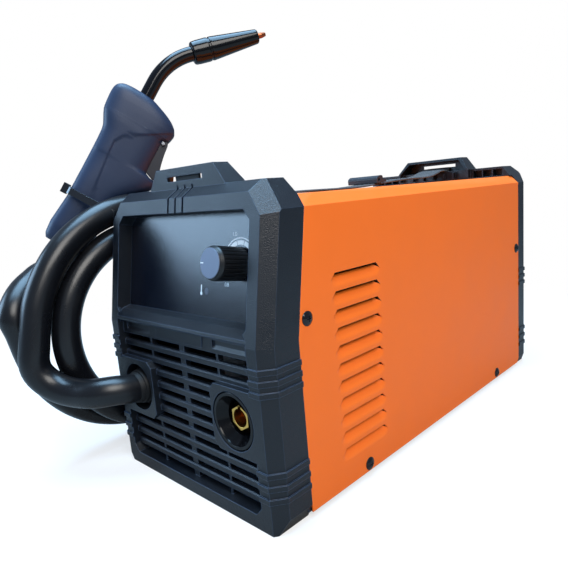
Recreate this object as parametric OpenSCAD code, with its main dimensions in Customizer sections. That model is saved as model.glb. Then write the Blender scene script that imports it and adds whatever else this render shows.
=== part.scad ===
// Compact MIG welding machine for flux-cored wire.
// A steel tray, wall and cover stand between two moulded bezels; the wire bay is behind the left door
// and the inverter is on the right. +X is right seen from the front, +Y runs back, +Z is up.
// The origin is on the floor under the middle of the front bezel's foot.

/* [Body] */
// Width across the cover and the bezels
body_w = 194; // [184:1:210]
// Length from the front face to the rear face
body_l = 418; // [405:1:460]
// Height of both moulded bezels
bezel_h = 228; // [222:1:245]
// How far the cover's flat top lies below the top of the bezels
cover_drop = 11; // [8:0.5:16]
// Thickness of the sheet steel
sheet = 1.2; // [0.8:0.1:2]
// Height of the steel tray's underside
tray_z = 3.6; // [2:0.1:8]

/* [Front bezel] */
// Wall of the mouldings
wall = 2.6; // [2:0.1:4]
// Depth of the front bezel at the cover's edge
front_side = 31; // [26:1:36]
// Height of the leaning part of the front face
face_h = 102; // [96:1:112]
// Lean of the upper face and of the cover's edge
face_lean = 10; // [4:1:14]
// Width of the bevel beside the face
bevel_x = 7.3; // [5:0.1:9]
// Depth of the bevel
bevel_y = 9.3; // [7:0.1:11]
// How far the corner ridges stand out
ridge_out = 1.1; // [0.6:0.1:1.6]
// Half width of the panel window and of the grille
window_hw = 80.5; // [76:0.5:84]
// Height of the face above the panel window
window_rim = 10.7; // [8:0.1:16]
// Depth of the control panel behind the face
panel_depth = 12; // [8:0.5:16]

/* [Grille] */
// Distance from slat to slat
slat_pitch = 9.9; // [9:0.1:11]
// Height of one slat
slat_h = 4.7; // [3.5:0.1:6]
// Depth of the slats behind the face
slat_depth = 5; // [4:0.5:7]
// Width of the middle rib
rib_w = 6; // [3:0.5:9]

/* [Sockets] */
// Distance of the socket and of the hose hole from the middle
boss_x = 59.8; // [57:0.1:62]
// Height of the socket and of the hose hole
boss_z = 72.6; // [68:0.1:77]
// Radius of the socket's flange
flange_r = 20.5; // [19:0.1:21]
// Radius of the socket's bore
socket_bore_r = 6.5; // [5:0.1:7]
// Radius of the hose hole
hose_hole_r = 19.5; // [17:0.1:21]

/* [Strap horns] */
// Height of the horns over the bezel
horn_h = 14.5; // [10:0.5:20]
// Half width of a horn's top
horn_top = 35; // [30:1:40]
// Half width of a horn's base
horn_base = 46; // [42:1:52]
// Width of the carrying strap
strap_w = 30; // [30:1:44]
// Thickness of the strap
strap_t = 2; // [1.5:0.1:2.4]

/* [Cover] */
// Number of louvres
louvres = 11; // [6:1:12]
// Height of the lowest louvre
louvre_low = 35; // [28:1:45]
// Length of a louvre's open edge
louvre_l = 46; // [30:1:60]
// How far a louvre stands out
louvre_out = 4.2; // [2:0.1:5]
// Radius of a cover screw's head
screw_head_r = 5; // [4:0.1:6]
// Radius of a cover screw's shank
screw_r = 2; // [1.5:0.1:2.5]

/* [Door] */
// Length of the door to the wire bay
door_l = 194; // [180:1:200]
// Height of the cover's side above the door
door_rim = 6; // [5:0.5:30]
// Gap round the door
door_gap = 1; // [0.6:0.1:1.5]
// Radius of the hinge pins
hinge_pin_r = 1.5; // [1:0.1:2]

/* [Controls] */
// Radius of the wire speed knob
knob_r = 11.2; // [9:0.1:14]
// Length of the knob
knob_l = 23.5; // [18:0.5:26]
// Radius of the knob's shaft
shaft_r = 3; // [2.5:0.1:3.5]
// Distance of the knob from the middle
knob_x = 59; // [50:0.5:62]

/* [Wire feed] */
// Radius of the wire spool's flanges
spool_r = 50; // [40:1:55]
// Width of the spool
spool_w = 44; // [36:1:48]
// Radius of the spool's spindle
spindle_r = 8; // [6:0.5:10]
// Radius of the drive roll
drive_r = 12; // [10:0.5:13]
// Radius of the pressure roll
pressure_r = 11; // [9:0.5:12]
// Diameter of the welding wire
wire_d = 0.9; // [0.6:0.1:1.2]

/* [Cooling fan] */
// Width of the fan's frame
fan_w = 80; // [70:1:86]
// Depth of the fan's frame
fan_t = 25; // [20:1:30]
// Number of fan blades
blades = 7; // [5:1:9]

/* [Torch] */
// Length of the torch handle
handle_l = 138; // [125:1:150]
// Half thickness of the handle
handle_hw = 16; // [14:0.5:19]
// Radius of the swan neck
neck_r = 6.5; // [5:0.1:7.5]
// Bend radius of the swan neck
neck_bend = 59; // [45:0.5:70]
// Angle of the swan neck
neck_angle = 42.5; // [30:0.5:60]
// Length of the nozzle
nozzle_l = 66.5; // [50:0.5:75]

/* [Torch hose] */
// Radius of the hose
hose_r = 11.5; // [9:0.5:12]
// Radius of the coil's outer turn, at the hose's middle
coil_r = 108.5; // [95:0.5:115]
// Step from turn to turn outwards
turn_step = 24.2; // [23.6:0.1:26]
// Step from layer to layer
layer_step = 24; // [23.6:0.1:26]

/* [Hidden] */
$fn = 64;
e = 0.01;
hw = body_w / 2;
rest_y = front_side / 2;
cover_h = bezel_h - cover_drop;
kink_z = bezel_h - face_h;
shoulder_z = bezel_h - 19;
face_top_z = bezel_h - 7;
bevel_run = 10.3;
top_cut = 14.5;
left_cut = [11, 17];
right_cut = [5, 10];
rear_side = 15.5;
rear_seam = body_l - bevel_y - rear_side;
lip_gap = 0.3;
lip_t = 2.2;
lip_l = 16;
flange_w = 15;
bevel_n = norm([bevel_x, bevel_y]);
ridge_h = 3.7;
upper_ridges = [for (i = [0:2]) kink_z - 12.8 - 7.5 * i];
lower_ridges = [for (i = [0:2]) 44.1 - 8.85 * i];
rail_z = 10.5;
lip_z = kink_z + 2.4;
strip_z = kink_z - 10.4;
vent_top = kink_z - 4;
plate_hw = 22.2;
plate_hh = 23.8;
rim_t = 2.2;
insert_t = 3.4;
window_s = 4.8;
window_l = (face_top_z - kink_z) / cos(face_lean) - window_s - window_rim;
knob_s = window_s + 0.58 * window_l;
sill = [[0, window_s], [5, 10.4], [panel_depth, 13.5]];
knob_out = 12.3;
tray_gap = 0.3;
cover_z = 3;
louvre_y = 72;
louvre_z = shoulder_z - 47;
louvre_pitch = (louvre_z - louvre_low) / (louvres - 1);
louvre_drop = 8.4;
louvre_flare = 4;
screw_z = kink_z + 11.7;
side_screws = [[40.3, screw_z], [97.4, tray_z + 6.4], [rear_seam - 61.8, tray_z + 6.4], [rear_seam - 6.8, screw_z]];
screw_hole_r = screw_r + 0.15;
door_y = rear_seam - 26 - door_l;
door_z = 15;
door_h = shoulder_z - door_rim - door_z;
hinge_r = 2.8;
hinge_z = door_z - 0.6;
hinge_x = -hw - 1.6;
hinge_l = 24;
hinge_play = 0.05;
wall_x = -13;
feed_x = -boss_x;
feed_z = boss_z;
roll_y = rear_seam - 191.2;
roll_w = 11;
arm_pivot = [roll_y + 22, feed_z + 20];
roll_gap = 0.05;
spool_y = rear_seam - spool_r - 53.2;
spool_z = door_z + spool_r + 47;
spool_x = wall_x - spool_w - 21;
web_depth = 8;
fan_x = fan_w / 2;
fan_z = fan_w / 2 + 30;
fan_y = body_l - 11 - fan_t;
hub_r = 14;
switch_x = -45;
switch_z = (vent_top + bezel_h) / 2 - 7;
gland_x = 45;
torch_turn = 60;
torch_rise = 56;
handle_end = -15;
neck_t = 6.9;
neck_s = handle_l + 13.9;
grip_t = 6;
handle_k = handle_l / 138;
trigger_s = 111 * handle_k;
pivot = [trigger_s - 3.4, -38];
coil_x = -hw - 2 - hose_r;
coil_y = 54;
coil_start = 170;
coil_in = 400;
coil_out = 125;
coil_turn = coil_in + 180 + coil_out;
coil_min = coil_r - turn_step * coil_in / 360;
coil_z = hose_r + coil_r - turn_step * 90 / 360 + 0.3;
torch_at = [-hw - 57.6, coil_y - 50.3, coil_z + 88.85];
brass_y = 6.6;
socket_l = 26;
boot_l = 14;
grille_cut = [5.5, 6];
horn_y = face_y(face_top_z) + bevel_run - 1;
horn_d = seam_y(cover_h) - 3 - horn_y;
horn_lean = 5.4;
slot_hw = 21.5;
lamp = [23.5, window_s + 0.33 * window_l];
hinges = [door_y + 36, door_y + door_l - 56];
rod_at = [roll_y - 27, feed_z + 14.5];
rod_l = 39.5;
rod_swing = 70;
board = [fan_y - 8, cover_h - 21];
board_k = (board.y - 22) / 174;
rocker_y = body_l - 2;
neck_end = [neck_s + neck_bend * sin(neck_angle), -neck_t - neck_bend * (1 - cos(neck_angle))];
tie_s = 31;
tie_back = -13.5;
tie_hose = [28.9, 26.5];
tie_hose_r = 12.4;
coil_steps = round(coil_turn / 15);

// ---------- placing ----------

// Everything is drawn from the front face; this puts the origin under the front foot.
module place() {
  translate([0, -rest_y, 0]) children();
}

// Extrudes an outline drawn in y and z along x.
module along_x(x0, x1) {
  translate([x0, 0, 0]) rotate([90, 0, 90]) linear_extrude(x1 - x0) children();
}

// Extrudes an outline drawn in x and z along y.
module along_y(y0, y1) {
  translate([0, y1, 0]) rotate([90, 0, 0]) linear_extrude(y1 - y0) children();
}

// Space of the leaning face: x, depth behind the face, distance up the face from the kink.
module on_face() {
  translate([0, 0, kink_z]) rotate([-face_lean, 0, 0]) children();
}

// Both sides.
module both() {
  children();
  mirror([1, 0, 0]) children();
}

// A cylinder along x, or along y.
module rod_x(r, x0, x1, y, z) {
  translate([x0, y, z]) rotate([0, 90, 0]) cylinder(r = r, h = x1 - x0);
}

module rod_y(r, y0, y1, x, z) {
  translate([x, y0, z]) rotate([-90, 0, 0]) cylinder(r = r, h = y1 - y0);
}

// Box given by two corners.
module box(a, b) {
  translate(a) cube([b.x - a.x, b.y - a.y, b.z - a.z]);
}

function face_y(z) = max(0, z - kink_z) * tan(face_lean);
function seam_y(z) = front_side + face_y(z);
function cut_box(hx, z0, z1, c) = [[-hx + c.x, z0], [hx - c.x, z0], [hx, z0 + c.y], [hx, z1 - c.y],
    [hx - c.x, z1], [-hx + c.x, z1], [-hx, z1 - c.y], [-hx, z0 + c.y]];

// ---------- bezels ----------

function bezel_outline(lc, rc) = [[-hw + lc.x, 0], [hw - rc.x, 0], [hw, rc.y], [hw, shoulder_z],
    [hw - top_cut, bezel_h], [-hw + top_cut, bezel_h], [-hw, shoulder_z], [-hw, lc.y]];

cover_outline = [[-hw, cover_z], [hw, cover_z], [hw, shoulder_z], [hw - 8.2, cover_h],
    [-hw + 8.2, cover_h], [-hw, shoulder_z]];

// Takes the corner off a straight edge; the edge is at the origin and runs up z.
module bevel_cut(l, off) {
  translate([-off * bevel_y / bevel_n, off * bevel_x / bevel_n, -1])
    linear_extrude(l) polygon([[-2 * bevel_x, -bevel_y], [bevel_x, 2 * bevel_y], [bevel_x + 20, 2 * bevel_y],
      [bevel_x + 20, -bevel_y - 20], [-2 * bevel_x, -bevel_y - 20]]);
}

// The bevels round the front face, moved in by off.
module front_bevels(off) {
  run = bezel_h - shoulder_z;
  both() {
    translate([hw, 0, 0]) bevel_cut(kink_z + 20, off);
    on_face() translate([hw, 0, 0]) bevel_cut(bezel_h, off);
    on_face() translate([hw, 0, (shoulder_z - kink_z) / cos(face_lean)])
      rotate([0, -atan(top_cut / run), 0]) translate([0, 0, -20]) bevel_cut(80, off);
  }
}

// The front bezel's outer form, moved in by off; back is how far its rear is moved out.
module front_form(off = 0, back = 0) {
  difference() {
    intersection() {
      along_y(-5, front_side + 40 + back) offset(delta = -off) polygon(bezel_outline(left_cut, right_cut));
      along_x(-hw - 5, hw + 5) polygon(front_cut(off, back));
    }
    front_bevels(off);
  }
}

function front_cut(off, back) = [[off, -5], [off, kink_z], [face_y(face_top_z) + off, face_top_z - off / 3],
    [face_y(face_top_z) + bevel_run, bezel_h - off], [seam_y(cover_h) - 3 + back, bezel_h - off],
    [seam_y(cover_h) + back, cover_h], [front_side + back, kink_z], [front_side + back, -5]];

module rear_form(off = 0, front = 0) {
  difference() {
    intersection() {
      along_y(rear_seam - 20 - front, body_l + 5)
        offset(delta = -off) polygon(bezel_outline(right_cut, right_cut));
      along_x(-hw - 5, hw + 5) polygon([[rear_seam - front, -5], [body_l - off, -5],
        [body_l - off, face_top_z - off / 3], [body_l - bevel_y, bezel_h - off],
        [rear_seam - 7 - front, bezel_h - off], [rear_seam - 7 - front, cover_h + lip_gap],
        [rear_seam - front, cover_h + lip_gap]]);
    }
    both() translate([hw, body_l, 0]) mirror([0, 1, 0]) bevel_cut(bezel_h + 5, off);
  }
}

// Ring between the cover's inside and a lip that the cover slides over.
module lip_ring() {
  difference() {
    offset(delta = -sheet - lip_gap) polygon(cover_outline);
    offset(delta = -sheet - lip_gap - lip_t) polygon(cover_outline);
  }
}

// Flange that stiffens the rim behind the seam.
module rim_ring(lc, rc) {
  difference() {
    offset(delta = -1) polygon(bezel_outline(lc, rc));
    offset(delta = -flange_w) polygon(bezel_outline(lc, rc));
  }
}

// Ridges that run round the corner of a bezel.
module ridge_bands(y0, y1) {
  both() for (z = concat(upper_ridges, lower_ridges))
    box([window_hw - 1.5, y0, z - ridge_h], [hw + 4, y1, z]);
}

// Slats, ribs and rim of one grille, with its front plane at y = 0.
module grille(top_z) {
  count = floor((top_z - 18) / slat_pitch);
  first = top_z - slat_pitch / 2 - 0.5;
  for (i = [0:count - 1]) {
    z = first - slat_pitch * i;
    along_x(-window_hw - e, window_hw + e) polygon([[slat_depth + 0.9, z], [slat_depth, z - 0.9],
      [slat_depth, z - slat_h], [slat_depth + 4, z - slat_h], [slat_depth + 4, z]]);
  }
  box([-rib_w / 2, slat_depth + 1.5, rail_z - 1], [rib_w / 2, slat_depth + 6, top_z + 1]);
  both() box([41, slat_depth + 1.5, rail_z - 1], [43, slat_depth + 6, top_z + 1]);
}

// Rim behind the edge of the grille's opening.
module grille_rim(top_z) {
  along_y(wall - e, slat_depth + 6) difference() {
    polygon(cut_box(window_hw + rim_t, rail_z - rim_t, top_z + rim_t, grille_cut));
    polygon(cut_box(window_hw, rail_z, top_z + rim_t + 1, grille_cut));
  }
}

// Strap horn with its front at y = 0 and its open back at y = depth.
module horn(depth) {
  base_z = cover_h + 2;
  difference() {
    along_y(0, depth) polygon([[-horn_base, base_z], [horn_base, base_z], [horn_base, bezel_h],
      [horn_top, bezel_h + horn_h], [-horn_top, bezel_h + horn_h], [-horn_base, bezel_h]]);
    along_y(wall, depth + 1) polygon([[-horn_base + wall, base_z - 1], [horn_base - wall, base_z - 1],
      [horn_base - wall, bezel_h], [horn_top - wall, bezel_h + horn_h - wall],
      [-horn_top + wall, bezel_h + horn_h - wall], [-horn_base + wall, bezel_h]]);
    box([-slot_hw, -1, bezel_h + 5], [slot_hw, wall + 1, bezel_h + 8.4]);
    along_x(-horn_base - 1, horn_base + 1) polygon([[depth - horn_lean, bezel_h + horn_h + 1],
      [depth + 1, bezel_h - 1], [depth + 1, bezel_h + horn_h + 1]]);
  }
  both() box([slot_hw + 4.5, wall - e, base_z], [slot_hw + 6.1, depth - 1, bezel_h - 2]);
  for (x = [-13.5, 0, 13.5]) box([x - 0.7, wall - e, base_z], [x + 0.7, depth - 3, bezel_h - 3]);
}

// Three grooves over the window, on the face and on the bevel above it.
module crest_grooves() {
  b = [face_y(face_top_z), face_top_z];
  c = [b.x + bevel_run, bezel_h];
  a = [face_y(kink_z + window_l), kink_z + window_l];
  for (x = [-9, 0, 9]) along_x(x - 1.1, x + 1.1)
    polygon([[a.x - 2, a.y], [b.x - 2, b.y + 1.5], [c.x - 1, c.y + 2], [c.x + 1.2, c.y - 1.9],
      [b.x + 1.9, b.y - 1.6], [a.x + 2.1, a.y]]);
}

// Boss plate round one of the two holes; it joins the stile beside it.
module boss_plate() {
  x0 = boss_x - plate_hw;
  x1 = window_hw + 1;
  c = 5;
  along_y(0, web_depth + 3) polygon([[x0, boss_z - plate_hh + c], [x0 + c, boss_z - plate_hh],
    [x1, boss_z - plate_hh], [x1, boss_z + plate_hh], [x0 + c, boss_z + plate_hh],
    [x0, boss_z + plate_hh - c]]);
}

// Long shallow recess with a sloping floor in the strip over the grille.
module strip_recess() {
  along_x(40, 74) polygon([[slat_depth - 1, kink_z - 1], [slat_depth + 1.6, kink_z - 1],
    [slat_depth + 1.6, kink_z - 5], [slat_depth - 1, kink_z - 9]]);
}

module front_bezel() {
  color([0.17, 0.19, 0.23]) place() difference() {
    union() {
      difference() {
        union() {
          front_form();
          intersection() {
            front_form(-ridge_out);
            ridge_bands(-3, front_side);
            along_x(-hw - 5, hw + 5) polygon([[-3, 0], [-3, kink_z], [front_side, kink_z], [front_side, 0]]);
          }
        }
        front_form(wall, 60);
        along_y(-5, wall + 5) polygon(cut_box(window_hw, rail_z, lip_z + 8, grille_cut));
        on_face() along_y(-5, wall + 2) polygon(cut_box(window_hw, window_s, window_s + window_l, [6.5, 6.5]));
      }
      // lip bar between the window and the grille
      along_x(-window_hw - 1, window_hw + 1) polygon([[face_y(lip_z), lip_z],
        [face_y(kink_z + window_s), kink_z + window_s - 0.4], [slat_depth + 5, kink_z + 9], [slat_depth + 5, lip_z]]);
      grille_rim(lip_z - 1);
      grille(strip_z);
      along_y(slat_depth, slat_depth + insert_t)
        polygon([[-window_hw - e, strip_z], [window_hw + e, strip_z], [window_hw + e, lip_z + 1],
          [-window_hw - e, lip_z + 1]]);
      along_y(slat_depth - 0.8, slat_depth + 1)
        polygon([[-30, kink_z - 8.4], [28, kink_z - 8.4], [30, kink_z + 1.2], [-28, kink_z + 1.2]]);
      both() boss_plate();
      // window recess down to the panel
      on_face() along_y(wall - e, panel_depth) difference() {
        polygon(cut_box(window_hw + rim_t, window_s - 3, window_s + window_l + rim_t, [7.5, 7.5]));
        polygon(cut_box(window_hw, window_s - 4, window_s + window_l, [6.5, 6.5]));
      }
      on_face() along_x(-window_hw - 1, window_hw + 1)
        polygon([sill[0], sill[1], sill[2], [panel_depth, 9.5], [5, 4], [1, 1.5]]);
      // rim flange and lip behind the seam
      intersection() {
        along_y(0, 80) rim_ring(left_cut, right_cut);
        along_x(-hw, hw) polygon([[front_side - wall, 0], [front_side - wall, kink_z],
          [seam_y(cover_h) - wall, cover_h], [seam_y(cover_h) - wall - 3, bezel_h], [seam_y(cover_h) - 3, bezel_h],
          [seam_y(cover_h), cover_h], [front_side, kink_z], [front_side, 0]]);
      }
      intersection() {
        along_y(0, 90) lip_ring();
        along_x(-hw, hw) polygon([[front_side - wall, 0], [front_side - wall, kink_z],
          [seam_y(cover_h) - wall, cover_h], [seam_y(cover_h) + lip_l, cover_h], [front_side + lip_l, kink_z],
          [front_side + lip_l, 0]]);
      }
      translate([0, horn_y, 0]) horn(horn_d);
    }
    both() strip_recess();
    crest_grooves();
    rod_y(flange_r + 0.4, -5, web_depth - 4, boss_x, boss_z);
    rod_y(16.6, -5, 40, boss_x, boss_z);
    rod_y(hose_hole_r, -5, 40, -boss_x, boss_z);
    both() rod_x(screw_hole_r, hw - 12, hw + 1, side_screws[0].x, side_screws[0].y);
    // room for the tray's front edge
    box([-hw + 3.9, front_side - 2, tray_z - 0.4], [hw - 3.9, front_side + 30, tray_z + sheet + 0.4]);
  }
}

module rear_bezel() {
  color([0.15, 0.16, 0.19]) place() difference() {
    union() {
      difference() {
        union() {
          rear_form();
          intersection() {
            rear_form(-ridge_out);
            ridge_bands(rear_seam, body_l + 3);
          }
        }
        rear_form(wall, 60);
        along_y(body_l - wall - 2, body_l + 5) polygon(cut_box(window_hw, rail_z, vent_top, grille_cut));
      }
      translate([0, body_l, 0]) mirror([0, 1, 0]) {
        grille(vent_top);
        grille_rim(vent_top - rim_t);
      }
      intersection() {
        along_y(rear_seam - 10, rear_seam + wall) rim_ring(right_cut, right_cut);
        along_x(-hw, hw) polygon([[rear_seam, 0], [rear_seam, cover_h + lip_gap],
          [rear_seam - 7, cover_h + lip_gap], [rear_seam - 7, bezel_h], [rear_seam + wall, bezel_h],
          [rear_seam + wall, 0]]);
      }
      along_y(rear_seam - lip_l, rear_seam + wall) lip_ring();
      translate([0, rear_seam + 7.5, 0]) mirror([0, 1, 0]) horn(horn_d + 3);
    }
    both() rod_x(screw_hole_r, hw - 12, hw + 1, side_screws[3].x, side_screws[3].y);
    // pockets between ribs beside the horn
    both() for (x = [horn_base + 3, horn_base + 14.5, horn_base + 26])
      box([x, rear_seam - 8, cover_h + 1], [x + 10.3, rear_seam + 1, bezel_h - wall]);
    box([switch_x - 11.2, body_l - 10, switch_z - 14.2], [switch_x + 11.2, body_l + 5, switch_z + 14.2]);
    rod_y(8.2, body_l - 10, body_l + 5, gland_x, switch_z);
    box([-hw + 3.9, rear_seam - 30, tray_z - 0.4], [hw - 3.9, rear_seam + 3, tray_z + sheet + 0.4]);
  }
}

// ---------- cover, tray and door ----------

// One pressed louvre, open at its top edge; grow is the wall outwards.
module louvre_bump(grow) {
  y0 = louvre_y - grow;
  y1 = louvre_y + louvre_l + grow;
  x = hw - sheet;
  out = louvre_out + grow;
  drop = louvre_drop + grow;
  top = grow > 0 ? 0 : 1.2;
  intersection() {
    along_y(y0 - louvre_flare, y1 + louvre_flare) polygon(concat([[x - 3, top], [x - 3, -drop]],
      [for (i = [0:6]) [x + out * (1 - pow(1 - i / 6, 1.9)), -drop * (1 - i / 6)]], [[x + out, top]]));
    linear_extrude(40, center = true) polygon([[x - 4, y0 - louvre_flare], [x, y0 - louvre_flare],
      [x + 0.75 * out, y0 - 0.2 * louvre_flare], [x + out, y0 + 1], [x + out, y1 - 1],
      [x + 0.75 * out, y1 + 0.2 * louvre_flare], [x, y1 + louvre_flare], [x - 4, y1 + louvre_flare]]);
  }
}

module cover() {
  color([0.93, 0.42, 0.13]) place() difference() {
    union() {
      intersection() {
        along_y(0, body_l) difference() {
          polygon(cover_outline);
          offset(delta = -sheet) polygon(cover_outline);
          translate([-hw, -1]) square([body_w, cover_z + 1 + sheet + e]);
        }
        along_x(-hw - 1, hw + 1) polygon([[front_side + lip_gap, 0], [front_side + lip_gap, kink_z],
          [seam_y(cover_h) + lip_gap, cover_h + 1], [rear_seam - lip_gap, cover_h + 1],
          [rear_seam - lip_gap, cover_z + 6], [rear_seam - lip_gap - 5, cover_z], [rear_seam - 6, 0]]);
      }
      for (i = [0:louvres - 1]) translate([0, 0, louvre_z - i * louvre_pitch])
        difference() {
          louvre_bump(sheet);
          translate([0, 0, -20]) box([hw - 6, 0, 0], [hw - sheet, 200, 40]);
        }
      door_frame();
      hinge_knuckles(0);
    }
    for (i = [0:louvres - 1]) translate([0, 0, louvre_z - i * louvre_pitch]) louvre_bump(0);
    box([-hw - 1, door_y - door_gap, door_z - door_gap],
      [-hw + sheet, door_y + door_l + door_gap, door_z + door_h + door_gap]);
    for (p = side_screws) both() rod_x(screw_r + 0.4, hw - 4, hw + 2, p.x, p.y);
    hinge_bores();
    hinge_relief(1);
  }
}

// Frame behind the door's edge, joined to the cover.
module door_frame() {
  step = 5;
  x0 = -hw + sheet;
  along_x(x0 - 0.4, x0 + sheet) difference() {
    translate([door_y - step, door_z + 5]) square([door_l + step + 4, door_h]);
    translate([door_y + step, door_z - 1]) square([door_l - 2 * step, door_h - step + 1]);
  }
}

// Knuckles: part 0 is the cover's pair of ends, part 1 is the door's middle.
module hinge_knuckles(part) {
  third = hinge_l / 3;
  for (y = hinges) for (k = part == 0 ? [-1, 1] : [0]) {
    y0 = y + (k - 0.5) * third + 0.15;
    y1 = y + (k + 0.5) * third - 0.15;
    rod_y(hinge_r, y0, y1, hinge_x, hinge_z);
    if (part == 0)
      box([hinge_x - hinge_r, y0, hinge_z - 8], [-hw + sheet, y1, hinge_z]);
    if (part == 1)
      box([hinge_x - hinge_r, y0, hinge_z], [-hw + sheet, y1, hinge_z + 8]);
  }
}

module hinge_bores() {
  for (y = hinges) rod_y(hinge_pin_r + hinge_play, y - hinge_l, y + hinge_l, hinge_x, hinge_z);
}

// Room round the knuckles of the other leaf.
module hinge_relief(part) {
  third = hinge_l / 3;
  for (y = hinges) for (k = part == 0 ? [-1, 1] : [0])
    rod_y(hinge_r + 0.4, y + (k - 0.5) * third - 0.15, y + (k + 0.5) * third + 0.15, hinge_x, hinge_z);
}

module side_door() {
  color([0.93, 0.42, 0.13]) place() difference() {
    union() {
      box([-hw, door_y, door_z], [-hw + sheet - 0.1, door_y + door_l, door_z + door_h]);
      hinge_knuckles(1);
    }
    hinge_bores();
    hinge_relief(0);
    // finger notch in the free edge
    rod_x(11, -hw - 5, -hw + 5, door_y + door_l / 2, door_z + door_h + 3);
  }
}

module door_hinge_pins() {
  color([0.7, 0.7, 0.72]) place() for (y = hinges)
    rod_y(hinge_pin_r, y - hinge_l / 2, y + hinge_l / 2, hinge_x, hinge_z);
}

// Catches that hold the door shut, on the frame behind its free edge.
module door_magnets() {
  color([0.3, 0.3, 0.32]) place() for (y = [door_y + 25, door_y + door_l - 25])
    box([-hw + 2 * sheet, y - 9, door_z + door_h - 12], [-hw + 2 * sheet + 7, y + 9, door_z + door_h - 1]);
}

module base_tray() {
  x = hw - sheet - tray_gap;
  y0 = front_side + 0.5;
  y1 = rear_seam - 0.5;
  color([0.25, 0.26, 0.28]) place() difference() {
    union() {
      box([-x + 4, y0, tray_z], [x - 4, y1, tray_z + sheet]);
      both() along_y(y0 + lip_l + 1, y1 - lip_l - 1) polygon([[x - 4.5, tray_z], [x, tray_z], [x, tray_z + 14],
        [x - 1.5, tray_z + 14], [x - 1.5, tray_z + sheet], [x - 4.5, tray_z + sheet]]);
    }
    for (i = [1, 2]) both() rod_x(screw_hole_r, hw - 6, hw + 1, side_screws[i].x, side_screws[i].y);
    // rows of air slots under the inverter
    for (i = [0:8]) box([20, 120 + 22 * i, 0], [70, 125 + 22 * i, tray_z + 3]);
  }
}

module partition() {
  color([0.72, 0.73, 0.75]) place() difference() {
    union() {
      box([wall_x - sheet, front_side + 18, tray_z + sheet], [wall_x, rear_seam - 18, cover_h - 8]);
      box([wall_x - 12, front_side + 18, tray_z + sheet], [wall_x, rear_seam - 18, tray_z + 2 * sheet]);
    }
    rod_x(7.3, wall_x - 4, wall_x + 2, roll_y, feed_z - drive_r);
    rod_x(spindle_r - 2, wall_x - 4, wall_x + 2, spool_y, spool_z);
  }
}

module cover_screws() {
  color([0.06, 0.06, 0.07]) place() for (p = side_screws) both() {
    difference() {
      translate([hw, p.x, p.y]) rotate([0, 90, 0]) intersection() {
        cylinder(r = screw_head_r, h = 2.3);
        translate([0, 0, -5.2]) sphere(r = 7.5);
      }
      for (a = [0, 90]) translate([hw + 2, p.x, p.y]) rotate([a, 0, 0]) cube([2.2, 0.9, 4.6], center = true);
    }
    rod_x(screw_r, hw - 7, hw + e, p.x, p.y);
  }
}

// ---------- controls ----------

module control_panel() {
  color([0.04, 0.05, 0.08]) place() on_face() difference() {
    along_y(panel_depth, panel_depth + 2)
      polygon(cut_box(window_hw + 1.8, 11, window_s + window_l + 2, [7, 7]));
    rod_y(shaft_r + 0.7, panel_depth - 1, panel_depth + 3, knob_x, knob_s);
    rod_y(2.6, panel_depth - 1, panel_depth + 3, lamp.x, lamp.y);
  }
}

module speed_knob() {
  flute_r = 0.7;
  color([0.08, 0.09, 0.1]) place() on_face() translate([knob_x, -knob_out, knob_s]) rotate([-90, 0, 0])
    difference() {
      rotate_extrude() polygon([[0, 0], [knob_r - 1.2, 0], [knob_r - 0.9, 0.9], [knob_r - 0.5, 1.2], [knob_r, 2.6],
        [knob_r, knob_l], [0, knob_l]]);
      for (i = [0:23]) rotate([0, 0, 15 * i]) translate([knob_r + 0.15, 0, 3.4])
        cylinder(r = flute_r, h = knob_l, $fn = 16);
      translate([0, 0, 10]) cylinder(r = shaft_r, h = knob_l);
      translate([0, 0, 14]) difference() {
        cylinder(r = knob_r - 2, h = knob_l);
        translate([0, 0, -1]) cylinder(r = shaft_r + 2, h = knob_l + 2);
      }
    }
}

module knob_shaft() {
  color([0.75, 0.72, 0.6]) place() on_face()
    rod_y(shaft_r - 0.02, -knob_out + 10, panel_depth + 9, knob_x, knob_s);
}

module potentiometer() {
  color([0.35, 0.38, 0.4]) place() on_face() difference() {
    union() {
      rod_y(8.5, panel_depth + 2, panel_depth + 12, knob_x, knob_s);
      rod_y(shaft_r + 0.6, panel_depth, panel_depth + 3, knob_x, knob_s);
    }
    rod_y(shaft_r + 0.03, panel_depth - 1, panel_depth + 9.5, knob_x, knob_s);
  }
}

module thermal_lamp() {
  color([0.8, 0.55, 0.2]) place() on_face() translate([lamp.x, 0, lamp.y]) {
    rod_y(2.5, panel_depth + 0.2, panel_depth + 8, 0, 0);
    rod_y(3.2, panel_depth + 2, panel_depth + 3, 0, 0);
  }
}

// ---------- sockets ----------

module dinse_socket() {
  r = flange_r;
  color([0.05, 0.05, 0.06]) place() translate([boss_x, 0.2, boss_z]) rotate([-90, 0, 0])
    rotate_extrude() polygon([[r - 0.8, 0], [r, 0.8], [r, 3.7], [16.2, 3.7], [16.2, socket_l],
      [socket_bore_r + 2.7, socket_l], [socket_bore_r + 2.7, socket_l - 4], [12.6, socket_l - 4], [12.6, 7],
      [r - 3.4, 1], [r - 2.8, 0]]);
}

module socket_brass() {
  r = socket_bore_r;
  seat = socket_l - 4 - brass_y;
  color([0.85, 0.62, 0.2]) place() translate([boss_x, brass_y, boss_z]) rotate([-90, 0, 0]) difference() {
    union() {
      rotate([0, 0, 30]) cylinder(r = r + 2.6, h = 4.5, $fn = 6);
      translate([0, 0, 4.4]) cylinder(r = r + 1.6, h = seat);
      translate([0, 0, seat - 3]) cylinder(r = 12, h = 3);
      translate([0, 0, seat - 1]) cylinder(r = r + 2.6, h = 16);
      cylinder(r = 4, h = seat + 30);
    }
    translate([0, 0, -1]) cylinder(r = r, h = 23);
    translate([0, -r, 0]) cube([3, 4, 24], center = true);
  }
}

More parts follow.
